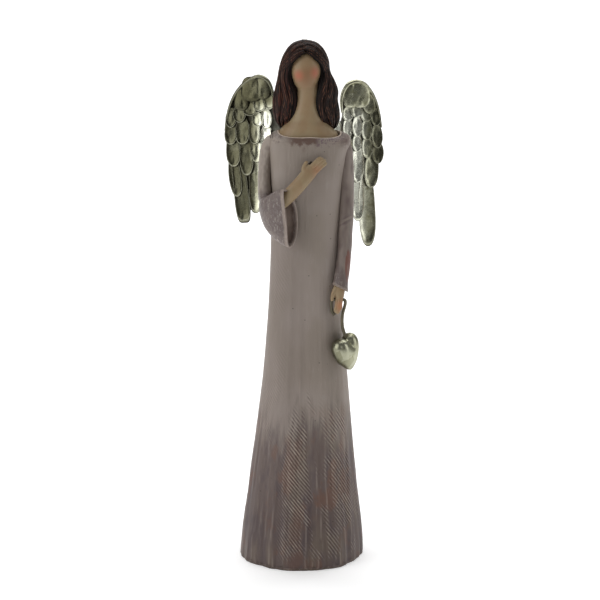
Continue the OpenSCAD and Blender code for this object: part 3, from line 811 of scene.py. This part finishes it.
def lock(shape, half, share, seed, end_z, part=None):
    """One grooved lock from the parting, round the head and down behind the shoulder."""
    rows, cols = 84, 18
    # The parting runs over the crown from front to back, and each lock leaves it sideways.
    high = np.linspace(287, HAIR_TOP, 200)
    _, _, y0, b = hair_size(high)
    y_part = mix(-10.9, 10.6, share) if part is None else part
    top_z = float(np.interp(abs(y_part), b[::-1], high[::-1]))
    z = mix(top_z, end_z, np.linspace(0, 1, rows) ** 1.5)
    x0, a, y0, b = hair_size(z)
    final = mix(edge_angle(z, half) + 0.17, np.pi / 2 - 0.04, share)
    start = final if part else np.arcsin(np.clip((y_part - y0) / b, -1, 1))
    turn = smooth(0, 1, (top_z - z) / mix(9, 20, min(1, 2 * share)))
    wave = 0.05 * np.sin(z / 6.5 + seed * 1.7) + 0.05 * noise(xyz(z / 8, seed * 0.37, half), 3)
    angle = mix(start, final, turn) + wave * smooth(292, 272, z)
    angle = np.maximum(angle, edge_angle(z, half) + 0.15 * smooth(293, 288, z))
    lift = 0.38 * (seed % 3) - 1.48
    middle = hair_point(angle, z, lift)
    ahead = hair_point(angle + 0.05, z, lift) - hair_point(angle - 0.05, z, lift)
    way = unit(np.gradient(middle, axis=0))
    across = unit(ahead - np.sum(ahead * way, axis=1, keepdims=True) * way)
    out = np.cross(way, across)
    out *= np.sign(np.sum(out * (middle - xyz(x0, y0, z - 6)), axis=1, keepdims=True))
    t = np.linspace(0, 1, rows)
    w = (1.75 + 0.2 * math.sin(seed * 3.1)) * (0.6 + 0.4 * smooth(0, 0.2, t)) * (1 - 0.7 * smooth(0.88, 1, t))
    h = 1.25 * (0.6 + 0.4 * smooth(0, 0.15, t)) * (1 - 0.75 * smooth(0.92, 1, t))
    q = np.arange(cols * 2) * np.pi / cols
    # Fine combed lines, deepest on the outside of the lock.
    line = 0.5 + 0.5 * np.cos(q[None] * 9 + seed + 2.2 * np.sin(z / 11 + seed)[:, None])
    radial = 1 - 0.14 * (1 - line) * smooth(0, 0.4, np.sin(q))[None]
    u, v = np.cos(q)[None] * np.ones((rows, 1)), np.sin(q)[None] * radial
    rings = middle[:, None] + across[:, None] * (w[:, None] * u)[..., None]
    rings = rings + out[:, None] * (h[:, None] * v)[..., None]
    # The recess value, read as painted shade, is highest in the combed lines and on the lock's sides, where it
    # tucks under its neighbours.
    wall = smooth(0.75, 0.1, np.sin(q))[None]
    dark = np.clip(0.55 * (1 - line) + 0.9 * wall, 0, 1)
    tone = 0.5 + 0.5 * math.sin(seed * 12.9 + half) + np.zeros_like(dark)
    rings[..., 0] -= 0.9 * smooth(0.06, 0, t)[:, None]
    if half < 0:
        rings[..., 0] = 2 * x0[:, None] - rings[..., 0]
    else:
        rings, dark = rings[:, ::-1], dark[:, ::-1]
    shape.loft(rings, recess=dark, tone=tone)


def make_hair():
    shape = Shape()
    z = np.concatenate([np.linspace(241, 292, 56), np.linspace(292.5, HAIR_TOP - 0.1, 20)])
    count = 64
    rows = []
    for height in z:
        right = float(edge_angle(np.array(height), 1))
        left = np.pi - float(edge_angle(np.array(height), -1))
        outer = hair_point(np.linspace(right + 0.03, left - 0.03, count), np.full(count, height), -1.9)
        keep = 0.62 if height > 256 else 0.72
        centre = xyz(*(float(v) for v in hair_size(np.array(height))[::2]), height)
        inner = centre + (outer[::-1][::2] - centre) * np.array([keep, keep, 1])
        rows.append(np.concatenate([outer, inner]))
    shape.loft(np.array(rows), recess=0.6, tone=0.0)
    locks = 22
    for half in (-1, 1):
        for k in range(locks):
            share = k / (locks - 1)
            end = 250.4 - 9 * smooth(0.25, 0.7, share) + 1.5 * math.sin(k * 2.4 + half)
            lock(shape, half, share, 2 * k + (half > 0), float(end))
        # Locks down the middle of the back start high on the crown.
        for k, part in enumerate((1.5, 5, 8.5)):
            lock(shape, half, 1 - 0.035 * k, 50 + k, 241.5, part)
    data = shape.mesh("hair")
    return piece("hair_casting", data, "figure", hair_paint(), ["hair"])


# ---- arms ----

CUFF_MOUTH = np.array([-7.0, -22.4, 202.8])
# Stations of the sleeves: x, y, z, half-width and half-depth.
RIGHT_SLEEVE = [
    (-10, 0.4, 243.2, 2.8, 5), (-14.2, 0.3, 243.4, 3.5, 6.4), (-17.3, 0.2, 242, 4.1, 6.8),
    (-19.3, 0, 238.2, 4.1, 6.6),
    (-20.3, -0.2, 233.4, 3.8, 6.4), (-20.7, -0.4, 229, 3.8, 6.3), (-20.9, -0.8, 222, 3.9, 6.3),
    (-20.7, -2.0, 214.6, 4.0, 6.4),
    (-20.2, -4.4, 208.6, 4.2, 7.8), (-19.0, -8.2, 204.8, 4.9, 9.8), (-17.0, -12.2, 203.4, 5.5, 11.6),
    (-14.6, -15.8, 203.0, 5.5, 13.2),
    (-11.2, -19.2, 202.8, 5.5, 15.0), (*CUFF_MOUTH, 5.6, 16.2),
]
LEFT_SLEEVE = [
    (15, 0.4, 243.4, 2.6, 5), (19.8, 0.3, 243, 3.2, 6.2), (23.0, 0.2, 241.2, 4.0, 6.6),
    (24.5, 0, 237.6, 4.0, 6.5),
    (25.0, -0.3, 233, 4.0, 6.2),
    (25.1, -1, 225, 4.3, 6.1), (25.0, -3, 210, 4.5, 5.9), (24.5, -5.8, 195, 4.3, 5.5),
    (24.0, -9, 182, 4.1, 5),
    (23.0, -12.2, 170, 3.9, 4.4), (22.2, -14, 165, 4.0, 4.2), (21.9, -14.8, 161.6, 4.4, 4.4),
]


def outward(rings):
    """The way from each ring's middle to each of its points."""
    return unit(rings - rings.mean(axis=1, keepdims=True))


def wrinkle(rings, depth, seed, size=(3.2, 3.2, 6.0)):
    return rings + outward(rings) * (depth * noise(rings / np.array(size), seed))[..., None]


def turned_in(rim, way, steps):
    """Rings that carry a sleeve's rim inward and back up into it, one for each step of inset and depth."""
    inward = unit(rim.mean(axis=0) - rim)
    return np.array([rim + inward * inset - way * back for inset, back in steps])


def make_right_sleeve():
    rings, t, angle = limb(RIGHT_SLEEVE, SIDE, 72, 130, 2.1)
    way = unit(np.array([0.8, -0.6, 0.05]))
    flare = smooth(0.62, 1, t)
    # The bell's soft pleats run from the elbow to the rim.
    out = outward(rings)
    pleat = flare[:, None] * (0.16 * np.cos(5 * angle + 0.7) + 0.08 * np.cos(9 * angle))[None]
    rings = rings + out * pleat[..., None]
    # The near rim is almost straight and the far one bows, and the mouth leans.
    ripe = smooth(0.74, 1, t)[:, None]
    bow = ripe * (1 + 0.2 * np.cos(angle) - 4 * np.sin(angle) ** 2)[None]
    rings = rings + bow[..., None] * np.array([0.56, 0.83, 0.0])
    rings[..., 0] += 1.5 * ripe * np.sin(angle)[None]
    crease = np.exp(-((t[:, None] - 0.6 - 0.03 * np.cos(angle + 0.8)[None]) / 0.02) ** 2)
    rings = rings - out * (0.34 * crease * smooth(0, 0.8, np.sin(angle + 2.2))[None])[..., None]
    rings = wrinkle(wrinkle(rings, 0.14, 31), 0.1, 33, (1.3, 1.3, 2.2))
    inside = turned_in(rings[-1], way, [
        (-0.35, -0.5), (-0.3, -1.0), (0.25, -1.2), (0.8, -0.8), (1.1, 0.2), (1.3, 1.6), (1.6, 3.2), (2.2, 5),
        (3.0, 7),
    ])
    rings = np.concatenate([rings, inside])
    n = len(inside)
    bell = np.concatenate([smooth(0.5, 0.6, t), np.ones(n)])[:, None]
    deep = np.concatenate([np.zeros(len(t) + 4), smooth(0, 3, np.arange(n - 4) + 0.5)])[:, None]
    rings = outside_gown(rings, 0.15)
    shape = Shape()
    cols = np.ones((1, len(angle)))
    rim_line = np.concatenate([smooth(0.975, 0.988, t), np.ones(4), np.zeros(n - 4)])[:, None]
    shape.loft(rings, recess=0.5, bell=bell * cols, inside=deep * cols, rim=rim_line * cols)
    data = shape.mesh("right_sleeve")
    set_value(data, "recess", hollows(data, 8, 0.22))
    paint = sleeve_paint("right_sleeve_paint", brush=0.17, painted_shade=0.08)
    return piece("right_sleeve_casting", data, "figure", paint, ["right_sleeve"])


def make_left_sleeve():
    rings, t, angle = limb(LEFT_SLEEVE, SIDE, 64, 170, 2.1)
    middle = rings.mean(axis=1, keepdims=True)
    out = outward(rings)
    along = t[:, None] - 0.575 - 0.028 * np.cos(angle)[None]
    crease = np.exp(-(along / 0.008) ** 2) - 0.5 * np.exp(-((along - 0.018) / 0.012) ** 2)
    rings = rings + out * (0.13 * crease * smooth(-0.3, 0.9, -np.sin(angle - 0.5))[None])[..., None]
    rings = rings + out * (0.22 * np.cos(3 * angle + 6 * t[:, None]) * smooth(0.3, 1, t)[:, None])[..., None]
    rings = wrinkle(rings, 0.18, 37)
    rings[..., 2] -= 0.42 * smooth(0.8, 1, t)[:, None] * (rings[..., 0] - middle[..., 0])
    down = np.array([-0.16, -0.24, -1.0])
    inside = turned_in(rings[-1], down, [(-0.25, -0.3), (0.3, -0.5), (0.8, -0.2), (1.2, 0.8), (1.6, 2.6)])
    rings = outside_gown(np.concatenate([rings, inside]), 0.1)
    n = len(inside)
    cols = np.ones((1, len(angle)))
    bell = np.concatenate([0.8 * smooth(0.86, 0.96, t), np.ones(n) * 0.8])[:, None] * cols
    deep = np.concatenate([np.zeros(len(t) + 2), np.ones(n - 2)])[:, None] * cols
    shape = Shape()
    rim_line = np.concatenate([smooth(0.988, 0.996, t), np.ones(2), np.zeros(n - 2)])[:, None] * cols
    shape.loft(rings, recess=0.5, bell=bell, inside=deep, rim=rim_line)
    data = shape.mesh("left_sleeve")
    set_value(data, "recess", hollows(data, 8, 0.22))
    patch = (26.0, -14, 173.6, 12, (4.6, 0.3, 0.85))
    paint = sleeve_paint("left_sleeve_paint", brush=0.14, painted_shade=0.8, patch=patch)
    return piece("left_sleeve_casting", data, "figure", paint, ["left_sleeve"])


RIGHT_FOREARM = [
    (-13.2, -18.6, 208.8, 2.9, 3.4), (-7.6, -21.2, 214.6, 3.5, 3.95), (-1.6, -21.3, 221.0, 3.3, 3.95),
    (1.8, -20.7, 224.9, 2.9, 3.9), (4.2, -20.0, 227.8, 2.3, 4.0), (6.2, -19.4, 229.9, 1.5, 3.5),
]
# Fingers of the right hand from the knuckle to the tip, with the radius at each point.
RIGHT_FINGERS = [
    [(5.1, -19.7, 231.2, 1.1), (7.8, -19.1, 233.8, 1.02), (10.3, -18.5, 235.9, 0.7)],
    [(5.8, -19.9, 230.4, 1.15), (8.7, -19.2, 233.1, 1.08), (11.5, -18.5, 235.3, 0.75)],
    [(7.0, -19.8, 229.2, 1.12), (9.9, -19.1, 231.9, 1.0), (13.0, -18.3, 234.5, 0.6)],
    [(7.9, -19.5, 228.0, 1.05), (10.6, -18.9, 230.4, 0.94), (13.5, -18.2, 232.9, 0.55)],
]
RIGHT_THUMB = [
    (2.0, -20.8, 226.8, 1.9), (1.1, -20.3, 229.8, 1.45), (1.5, -19.8, 231.8, 1.1), (2.6, -19.3, 233.6, 0.8),
]


def finger(shape, points, cols=16):
    rows = [(*p[:3], p[3], p[3]) for p in points]
    end, before = np.array(points[-1]), np.array(points[-2])
    tip = end[:3] + unit(end[:3] - before[:3]) * end[3] * 0.7
    rows.append((*tip, end[3] * 0.45, end[3] * 0.45))
    shape.loft(limb(rows, FRONT, cols, 24)[0])


def cast_hand(shape, name, gap, voxel=0.2):
    """Fuses a hand's parts, softens them, and keeps them on the gown."""
    data = fuse(shape.mesh(name), voxel, name)
    set_points(data, relax(data, points_of(data), 2))
    set_points(data, outside_gown(points_of(data), gap))
    set_value(data, "recess", hollows(data, 12, 0.22))
    return data


def make_right_hand():
    shape = Shape()
    shape.loft(limb(RIGHT_FOREARM, FRONT, 32, 60)[0])
    for f in RIGHT_FINGERS:
        finger(shape, f)
    finger(shape, RIGHT_THUMB)
    data = cast_hand(shape, "right_hand", 0.1)
    orange = srgb(190, 108, 72)
    paint = skin_paint("right_hand_paint", [((8.6, -20.6, 229.0, 5.4, (1, 0.6, 1)), orange, 0.22)])
    return piece("right_forearm_casting", data, "figure", paint, ["right_forearm"])


PIVOT = np.array([20.6, -16.6, 155.0])
LEFT_PALM = [
    (22.0, -14.6, 166.0, 2.6, 2.4), (21.2, -15.4, 161.5, 3.2, 2.6), (21.1, -16.0, 158, 2.9, 2.6),
    (21.1, -16.4, 155, 2.2, 2.2), (21.0, -16.7, 152.6, 1.6, 1.8),
]
LEFT_FINGERS = [
    [(22.2, -16.6, 156.0, 1.1), (21.7, -17.1, 152.4, 1.05), (21.0, -17.1, 149.0, 0.85)],
    [(21.4, -17.4, 156.2, 1.25), (20.9, -18.0, 151.6, 1.2), (20.1, -17.9, 147.6, 0.9)],
    [(20.2, -17.2, 156.0, 1.2), (19.5, -17.8, 151.6, 1.15), (18.9, -17.7, 148.2, 0.85)],
]
LEFT_THUMB = [
    (19.4, -16.2, 162.0, 1.6), (17.9, -17.0, 159.0, 1.35),
    (17.1, -17.6, 156.4, 1.1), (16.9, -17.9, 155.0, 0.8),
]


def make_left_hand():
    shape = Shape()
    shape.loft(limb(LEFT_PALM, SIDE, 28, 30)[0])
    for f in LEFT_FINGERS + [LEFT_THUMB]:
        finger(shape, f)
    data = cast_hand(shape, "left_hand", 0.35)
    orange = srgb(196, 112, 70)
    paint = skin_paint("left_hand_paint", [((22.4, -18, 151.6, 4.6, (1, 0.6, 0.8)), orange, 0.5)])
    return piece("left_hand_casting", data, "figure", paint, ["left_hand"])


# ---- wings ----

WING_SWEEP = math.radians(22)
WING_BACK_Y = 21.6              # the back plane of a wing at its root
ROOT_X, ROOT_HALF = 2, 5        # the middle of the wings' roots, and how far from it the sweep starts
LUG_HEIGHTS, LUG_OUT = (222, 235), 9
# A wing's flat plate, its rolled rim and its feathers, as distances outward and heights. Each feather is
# the place of its tip, its length and width, the lean of its tip outward in degrees, its layer, and its
# squareness.
RIGHT_WING = {
    "plate": [
        (6, 239), (8, 247), (12, 257), (15.5, 267), (18.5, 273.6), (22, 276.6), (26, 276.6),
        (30.6, 274.2), (35, 269.8),
        (38.8, 264.6), (41.4, 258.6), (43, 252), (43.8, 245), (43, 237), (42, 228), (40, 219),
        (37.4, 209), (35.6, 199),
        (31, 198), (25, 203), (17, 212), (8, 224),
    ],
    "rim": [
        (17.0, 266, 0.9), (17.6, 270.6, 1.3), (20.4, 275.0, 1.6), (24.6, 276.6, 1.7), (29.4, 275.0, 1.6),
        (34.4, 271.2, 1.5), (38.8, 265.4, 1.4), (41.8, 258.6, 1.3), (43.6, 251.4, 1.1), (44.6, 244.6, 0.8),
    ],
    "feathers": [
        (22.9, 264.0, 12, 10, -4, 6, 2.6), (29.4, 262.4, 14, 12, 2, 6.4, 2.6),
        (36.0, 256.8, 14, 8.6, 12, 6, 2.4),
        (24.2, 256.6, 9, 7.2, -4, 5, 2), (30.2, 253.8, 9, 8, 0, 5.2, 2.2), (36.8, 249.6, 11, 7.6, 6, 5, 2),
        (41.8, 246.4, 12, 6.6, 8, 4.8, 2), (18.8, 258, 11, 7, -4, 4.8, 2),
        (20.4, 247, 12, 6.8, -2, 4, 2), (25.6, 247.6, 9, 6.6, 0, 4.4, 2), (34.8, 236.8, 17, 8.4, 2, 4, 2.3),
        (27.4, 237.6, 14.5, 7.0, 0, 4.2, 2.2), (41.8, 236.4, 14, 7.6, 4, 3.8, 2),
        (20.4, 236, 14, 7, 0, 3.6, 2),
        (39.8, 223.4, 20, 8.6, -1, 3, 2.2), (32.2, 218.6, 24, 8.4, 0, 2.8, 2.2),
        (26.4, 226.8, 17, 7.2, 0, 3.1, 2),
        (20.4, 224, 15, 7, 0, 2.6, 2), (37.6, 205.6, 26, 7.6, -7, 1.6, 2.1),
        (33.6, 190.8, 42, 8.8, -6, 2.2, 4.4),
        (27.0, 197.0, 36, 7.8, 0, 1.9, 2.8), (20.6, 206, 26, 7.6, 2, 1.5, 2.2),
    ],
}
LEFT_WING = {
    "plate": [
        (5, 238), (9, 243), (15, 246), (21, 249), (23, 254), (22.6, 262), (23.6, 267.4), (26, 271.4),
        (29.6, 273.6),
        (33.4, 273.2), (37.4, 270.6), (41.2, 265), (43.8, 258), (45.2, 250), (46, 242), (46, 234),
        (44.4, 225),
        (42.2, 214), (40, 203), (38, 194), (32, 197), (26, 204), (17, 214), (7, 226),
    ],
    "rim": [
        (23.2, 256, 1.0), (22.8, 262.6, 1.4), (24.0, 268.4, 1.6), (27.2, 272.6, 1.7), (31.2, 273.6, 1.7),
        (35.4, 272.4, 1.6), (39.4, 268.2, 1.5), (42.6, 262.2, 1.3), (44.8, 254.6, 1.1), (46.2, 246.6, 0.8),
    ],
    "feathers": [
        (28.2, 258.8, 14, 10, -3, 6, 2.6), (34.0, 258.6, 15, 11.5, 2, 6.4, 2.6),
        (39.8, 255.0, 13, 7.6, 11, 6, 2.3),
        (26.4, 251, 9, 6.4, -2, 5, 2), (31.8, 253.0, 8, 6.8, 0, 5.2, 2), (37.6, 250.2, 9, 7, 4, 5, 2),
        (43.4, 247.6, 11, 6.2, 6, 4.8, 2), (26.4, 241.4, 12, 5.8, 0, 4, 2),
        (32.0, 241.6, 13, 5.9, 0, 4.2, 2.1),
        (37.9, 239.4, 13, 6.6, 2, 4, 2.1), (44.2, 234.4, 15, 6.8, 4, 3.8, 2),
        (26.4, 231.4, 12, 5.8, 0, 3.2, 2),
        (32.0, 233.0, 11, 5.8, 0, 3.4, 2), (38.2, 229.0, 13.5, 6.8, 1, 3.2, 2.1),
        (44.4, 225.4, 13, 6.8, 0, 3, 2),
        (26.0, 215.6, 21, 7.4, 0, 2.3, 2.1), (32.6, 214.8, 23, 7.8, 0, 2.5, 2.2),
        (40.3, 211.4, 22, 8.6, -2, 2.4, 2.3),
        (39.3, 176.8, 46, 10, 3, 1.8, 2.4), (33.0, 192.2, 34, 8.2, 2, 2.1, 2.4),
        (26.4, 197, 30, 8, 0, 1.6, 2.2),
        (20.0, 236, 16, 6.6, -2, 2.8, 2), (20.0, 221, 18, 6.6, -2, 2, 2),
    ],
}


def on_wing(half, u, w, height):
    """A point on a wing's front, height above its back plane."""
    x = half * np.asarray(u, float)
    swept = np.maximum(0, abs(x - ROOT_X) - ROOT_HALF) * math.tan(WING_SWEEP)
    return xyz(x, WING_BACK_Y + swept - np.asarray(height, float) / math.cos(WING_SWEEP), w)


def feather(shape, half, tip_u, tip_w, length, width, lean, layer, square, seed):
    """A cupped feather with a raised edge, its tip standing proud of the layer below."""
    cols = 44
    q = np.arange(cols) * 2 * np.pi / cols
    c, s = np.cos(q), np.sin(q)
    r = (abs(c) ** square + abs(s) ** square) ** (-1 / square)
    along, across = -s * r * length / 2, c * r * width / 2 * (1 - 0.08 * np.sin(q))
    across = across + 0.12 * width / 6 * noise(xyz(c * 1.6, s * 1.6, seed), 5)
    turn = math.radians(lean)
    pad = layer >= 5.8
    rho = np.array([0.12, 0.4, 0.62, 0.76, 0.83, 0.88, 0.915, 0.945, 0.97, 0.99, 1.0, 1.0, 0.9, 0.1])[:, None]
    cup = np.array([0, 0, 0.03, 0.12, 0.28, 0.46, 0.52, 0.5, 0.34, 0.1, -0.2, -0.9, -1.1, -1.1])[:, None]
    dark = np.array([0.26, 0.26, 0.27, 0.3, 0.3, 0.16, 0.06, 0.08, 0.4, 0.85, 1, 1, 1, 1])[:, None]
    if pad:
        # The smooth pads at the top swell a little instead of being cupped.
        cup = np.array([0.5, 0.47, 0.42, 0.36, 0.3, 0.24, 0.18, 0.12, 0.04, -0.06, -0.2, -0.9, -1.1, -1.1])
        cup = cup[:, None]
        dark = np.array([0.26, 0.26, 0.26, 0.26, 0.26, 0.26, 0.26, 0.28, 0.45, 0.85, 1, 1, 1, 1])[:, None]
    a, b = rho * along, rho * across
    u = tip_u + math.sin(turn) * (a - length / 2) + math.cos(turn) * b
    w = tip_w + math.cos(turn) * (length / 2 - a) + math.sin(turn) * b
    share = a / length + 0.5
    ripple = 0.16 * noise(xyz(u / 1.7, w / 4.2, seed), 7) * (rho < 0.9)
    height = 1.1 + 0.34 * layer + mix(-0.6, 0.75, share) + cup * (0.75 + 0.04 * width) + ripple
    height = np.maximum(height, 0.15)
    # Painted shade: cupped feathers get more of the dark wash at their base, where the layer above overhangs
    # them.
    dark = np.clip(dark + (0 if pad else 0.2) * smooth(0.3, 0.05, share), 0, 1)
    rings = on_wing(half, u, w, height)
    if half > 0:
        rings, dark = rings[:, ::-1], dark[:, ::-1]
    shape.loft(rings, recess=dark)


def make_wing(name, node, half, plan, seed, **leaf):
    shape = Shape()
    closed = plan["plate"] + plan["plate"][:1]
    line, _ = path_points([(u, w, 0) for u, w in closed], 140)
    line = line[:-1, :2]
    middle = line.mean(axis=0)
    rows, dark = [], []
    for share, height, d in (
        (0.05, 0, 0.5), (0.97, 0, 0.5), (1.0, 0.4, 0.6), (1.0, 0.9, 0.6), (0.97, 1.2, 0.7), (0.05, 1.2, 0.7)
    ):
        u, w = (middle + (line - middle) * share).T
        rows.append(on_wing(half, u, w, height + 0.14 * noise(xyz(u / 3, w / 4, 0), 3)))
        dark.append(np.full(len(u), d))
    rows = np.array(rows)
    shape.loft(rows[:, ::-1] if half > 0 else rows, recess=np.array(dark))
    roll, _ = path_points([(u, w, 0, r) for u, w, r in plan["rim"]], 90)
    centre = on_wing(half, roll[:, 0], roll[:, 1], 2.2)
    radius = roll[:, 3] * 0.72
    shape.loft(limb(np.column_stack([centre, radius * 1.35, radius]), FRONT, 20, 110)[0], recess=0.12)
    for k, f in enumerate(plan["feathers"]):
        feather(shape, half, *f, seed + k)
    # Lugs on the back take the pins.
    q = np.arange(28) * 2 * np.pi / 28
    x0 = ROOT_X + half * LUG_OUT
    for z in LUG_HEIGHTS:
        lug = [
            xyz(x0 + r * np.cos(q), y, z + r * np.sin(q))
            for r, y in ((4.3, 16.1), (4.6, 16.5), (4.6, 22), (4.2, 22.4))
        ]
        shape.loft(np.array(lug)[:, ::-1], recess=0.5)
    data = shape.mesh(name)
    return piece(name, data, "figure", leaf_paint(name + "_leaf", **leaf), [node])


# ---- heart and wire ----

HEART_AT = np.array([25.4, -17.3, 125.3])
HEART_TURN, HEART_LEAN = math.radians(48), math.radians(-12)
# One half of the heart from the top of its lobe to the tip: x, y, z, half-depth and half-width.
LOBE = [
    (4.3, 0, 9.28, 0.46, 0.45), (4.3, 0, 8.94, 1.81, 1.75), (4.3, 0, 8.23, 3.04, 2.9),
    (4.3, 0, 7.19, 4.06, 3.9),
    (4.25, 0, 5.89, 4.8, 4.6), (4.2, 0, 4.42, 5.22, 5.0), (4.0, 0, 2.6, 5.35, 5.1), (3.5, 0, 0, 5.2, 5.0),
    (2.8, 0, -3, 4.6, 4.5), (1.9, 0, -6, 3.6, 3.5), (1.0, 0, -8.6, 2.4, 2.3), (0.3, 0, -10.4, 1.3, 1.2),
    (0, 0, -11.2, 0.6, 0.6),
]
HEART_CORE = [
    (0, 0, 4.4, 1.4, 1.2), (0, 0, 2.8, 4.3, 3.6), (0, 0, 0.4, 5.4, 4.8), (0, 0, -2, 5.3, 4.8),
    (0, 0, -5.4, 4.3, 3.9),
    (0, 0, -8.2, 2.6, 2.4), (0, 0, -10, 1.2, 1.2),
]


def make_heart():
    shape = Shape()
    # The near lobe is fuller, the far lobe stands a little higher, and a core fills the space between.
    for half, fuller, up in ((-1, 1.09, -0.5), (1, 0.97, 0.5)):
        lobe = [(half * x, y, z + up * (z > -4), a * fuller, b * fuller) for x, y, z, a, b in LOBE]
        shape.loft(limb(lobe, FRONT, 48, 70)[0])
    shape.loft(limb(HEART_CORE, FRONT, 48, 40)[0])
    data = fuse(shape.mesh("heart"), 0.3, "heart")
    co = relax(data, points_of(data), 44)
    a, b = HEART_TURN, HEART_LEAN
    x, y = co[:, 0] * math.cos(a) - co[:, 1] * math.sin(a), co[:, 0] * math.sin(a) + co[:, 1] * math.cos(a)
    z = co[:, 2]
    x, z = x * math.cos(b) + z * math.sin(b), -x * math.sin(b) + z * math.cos(b)
    set_points(data, np.stack([x, y, z], -1) + HEART_AT)
    set_value(data, "recess", np.clip(hollows(data, 12, 0.5) - 0.2, 0.21, 1))
    # The heart's leaf has a painted dark reflection towards the left of the picture.
    paint = leaf_paint("heart_leaf", 0.3, (31, 16, 0.6), 0.01, polish=0.27)
    return piece("heart_casting", data, "pendant", paint, ["heart"])


WIRE_R = 0.9
# The wire's route from the pivot: its free end turned down beside the fingers, and its stem down to the
# heart. The hook is up to 1.3 mm and the stem up to 0.7 mm closer to the hand than the CAD's.
WIRE_HOOK = [
    (-3.0, 0, 0), (-3.6, -0.1, -0.3), (-3.9, -0.3, -1.5), (-3.8, -0.6, -5), (-3.3, -0.8, -7.2),
    (-2.1, -1.0, -8.6),
]
WIRE_STEM = [
    (3.0, 0, 0), (3.6, 0.1, -0.3), (3.9, 0.2, -1.3), (3.5, 0.3, -4), (2.6, 0.2, -7.5), (2.2, 0, -11),
    (2.5, 0, -16), (4.0, -0.4, -21.5), (4.4, -0.7, -24.5),
]


def make_wire():
    route = PIVOT + np.array([*reversed(WIRE_HOOK), (0, 0, 0), *WIRE_STEM])
    shape = Shape()
    shape.loft(limb([(*p, WIRE_R, WIRE_R) for p in route], FRONT, 20, 200)[0])
    data = shape.mesh("wire")
    set_value(data, "recess", np.full(len(data.vertices), 0.4))
    paint = metal_paint("wire_metal", srgb(112, 106, 90), 0.4)
    return piece("heart_wire_piece", data, "pendant", paint, ["heart_wire"])


# ---- studio ----


def make_studio():
    camera_data = bpy.data.cameras.new("camera")
    camera = bpy.data.objects.new("camera", camera_data)
    bpy.context.scene.collection.objects.link(camera)
    camera.location = (-0.0011, -1.0, 0.364)
    target = Vector((-0.0011, 0, 0.1513))
    camera.rotation_euler = (target - camera.location).to_track_quat("-Z", "Y").to_euler()
    camera_data.lens = 106.9
    camera_data.sensor_width = 36
    camera_data.clip_start = 0.05
    bpy.context.scene.camera = camera
    # A floor that sweeps up behind the figure.
    back = [(-3.0, 0), (1.4, 0), (1.9, 0.03), (2.4, 0.14), (2.8, 0.36), (3.0, 0.8), (3.0, 3)]
    line, _ = path_points([(y, z, 0) for y, z in back], 60)
    line[:, 1] = np.maximum(line[:, 1], 0)
    verts = [(x, y, z) for y, z in line[:, :2] for x in (-3.5, 3.5)]
    faces = [(2 * k, 2 * k + 1, 2 * k + 3, 2 * k + 2) for k in range(len(line) - 1)]
    data = bpy.data.meshes.new("floor")
    data.from_pydata(verts, [], faces)
    floor = bpy.data.objects.new("floor", data)
    bpy.context.scene.collection.objects.link(floor)
    p = Paint("floor_paint")
    p.set(Base_Color=(0.9, 0.9, 0.9, 1), Roughness=0.85, Specular_IOR_Level=0.2)
    p.set(Emission_Color=(1, 1, 1, 1), Emission_Strength=0.32)
    data.materials.append(p.material)
    lights = [
        ("left_box", (-0.9, -0.45, 0.55), (0, 0, 0.16), (0.7, 0.9), 4.9),
        ("right_box", (0.95, -0.25, 0.5), (0, 0, 0.16), (0.5, 0.9), 2.1),
        ("top_box", (0.0, 0.1, 1.3), (0, 0, 0.15), (0.9, 0.9), 4.5),
        ("back_box", (0, 0.9, 1.7), (0, 1.9, 0.3), (2.6, 0.8), 42),
        ("front_box", (0.1, -1.6, 0.9), (0, 0, 0.15), (0.5, 0.5), 1.4),
    ]
    for name, at, aim, size, power in lights:
        light = bpy.data.lights.new(name, "AREA")
        light.shape, light.size, light.size_y, light.energy = "RECTANGLE", size[0], size[1], power
        obj = bpy.data.objects.new(name, light)
        bpy.context.scene.collection.objects.link(obj)
        obj.location = at
        obj.rotation_euler = (Vector(aim) - Vector(at)).to_track_quat("-Z", "Y").to_euler()
    world = bpy.data.worlds.new("studio")
    world.use_nodes = True
    world.node_tree.nodes["Background"].inputs["Color"].default_value = (1, 1, 1, 1)
    world.node_tree.nodes["Background"].inputs["Strength"].default_value = 0.1
    bpy.context.scene.world = world
    bpy.context.scene.view_settings.view_transform = "Standard"


def dress_nodes():
    """Materials for the CAD nodes that stay: the pins, the dowel and the base plug."""
    steel = metal_paint("steel_metal", srgb(190, 190, 188), 0.3)
    resin = resin_paint()
    paints = {"neck_dowel": steel, "sleeve_pins": steel, "wing_pins": steel, "base_plug": resin}
    for node, paint in paints.items():
        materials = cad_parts[node].data.materials
        materials.clear()
        materials.append(paint)


make_studio()
make_gown()
make_head()
make_hair()
make_right_sleeve()
make_left_sleeve()
make_right_hand()
make_left_hand()
# Each wing's leaf has a painted dark reflection on its outer part, and another high up on the wing on the left
# of the picture, and a painted near-white reflection nearer the body.
make_wing(
    "right_wing_casting", "right_wing", -1, RIGHT_WING, 0, tarnish=(-23, -30, 0.9), top=0.85, bright=(-27, -22)
)
make_wing("left_wing_casting", "left_wing", 1, LEFT_WING, 40, tarnish=(37, 43, 0.75), bright=(39, 33))
make_heart()
make_wire()
dress_nodes()
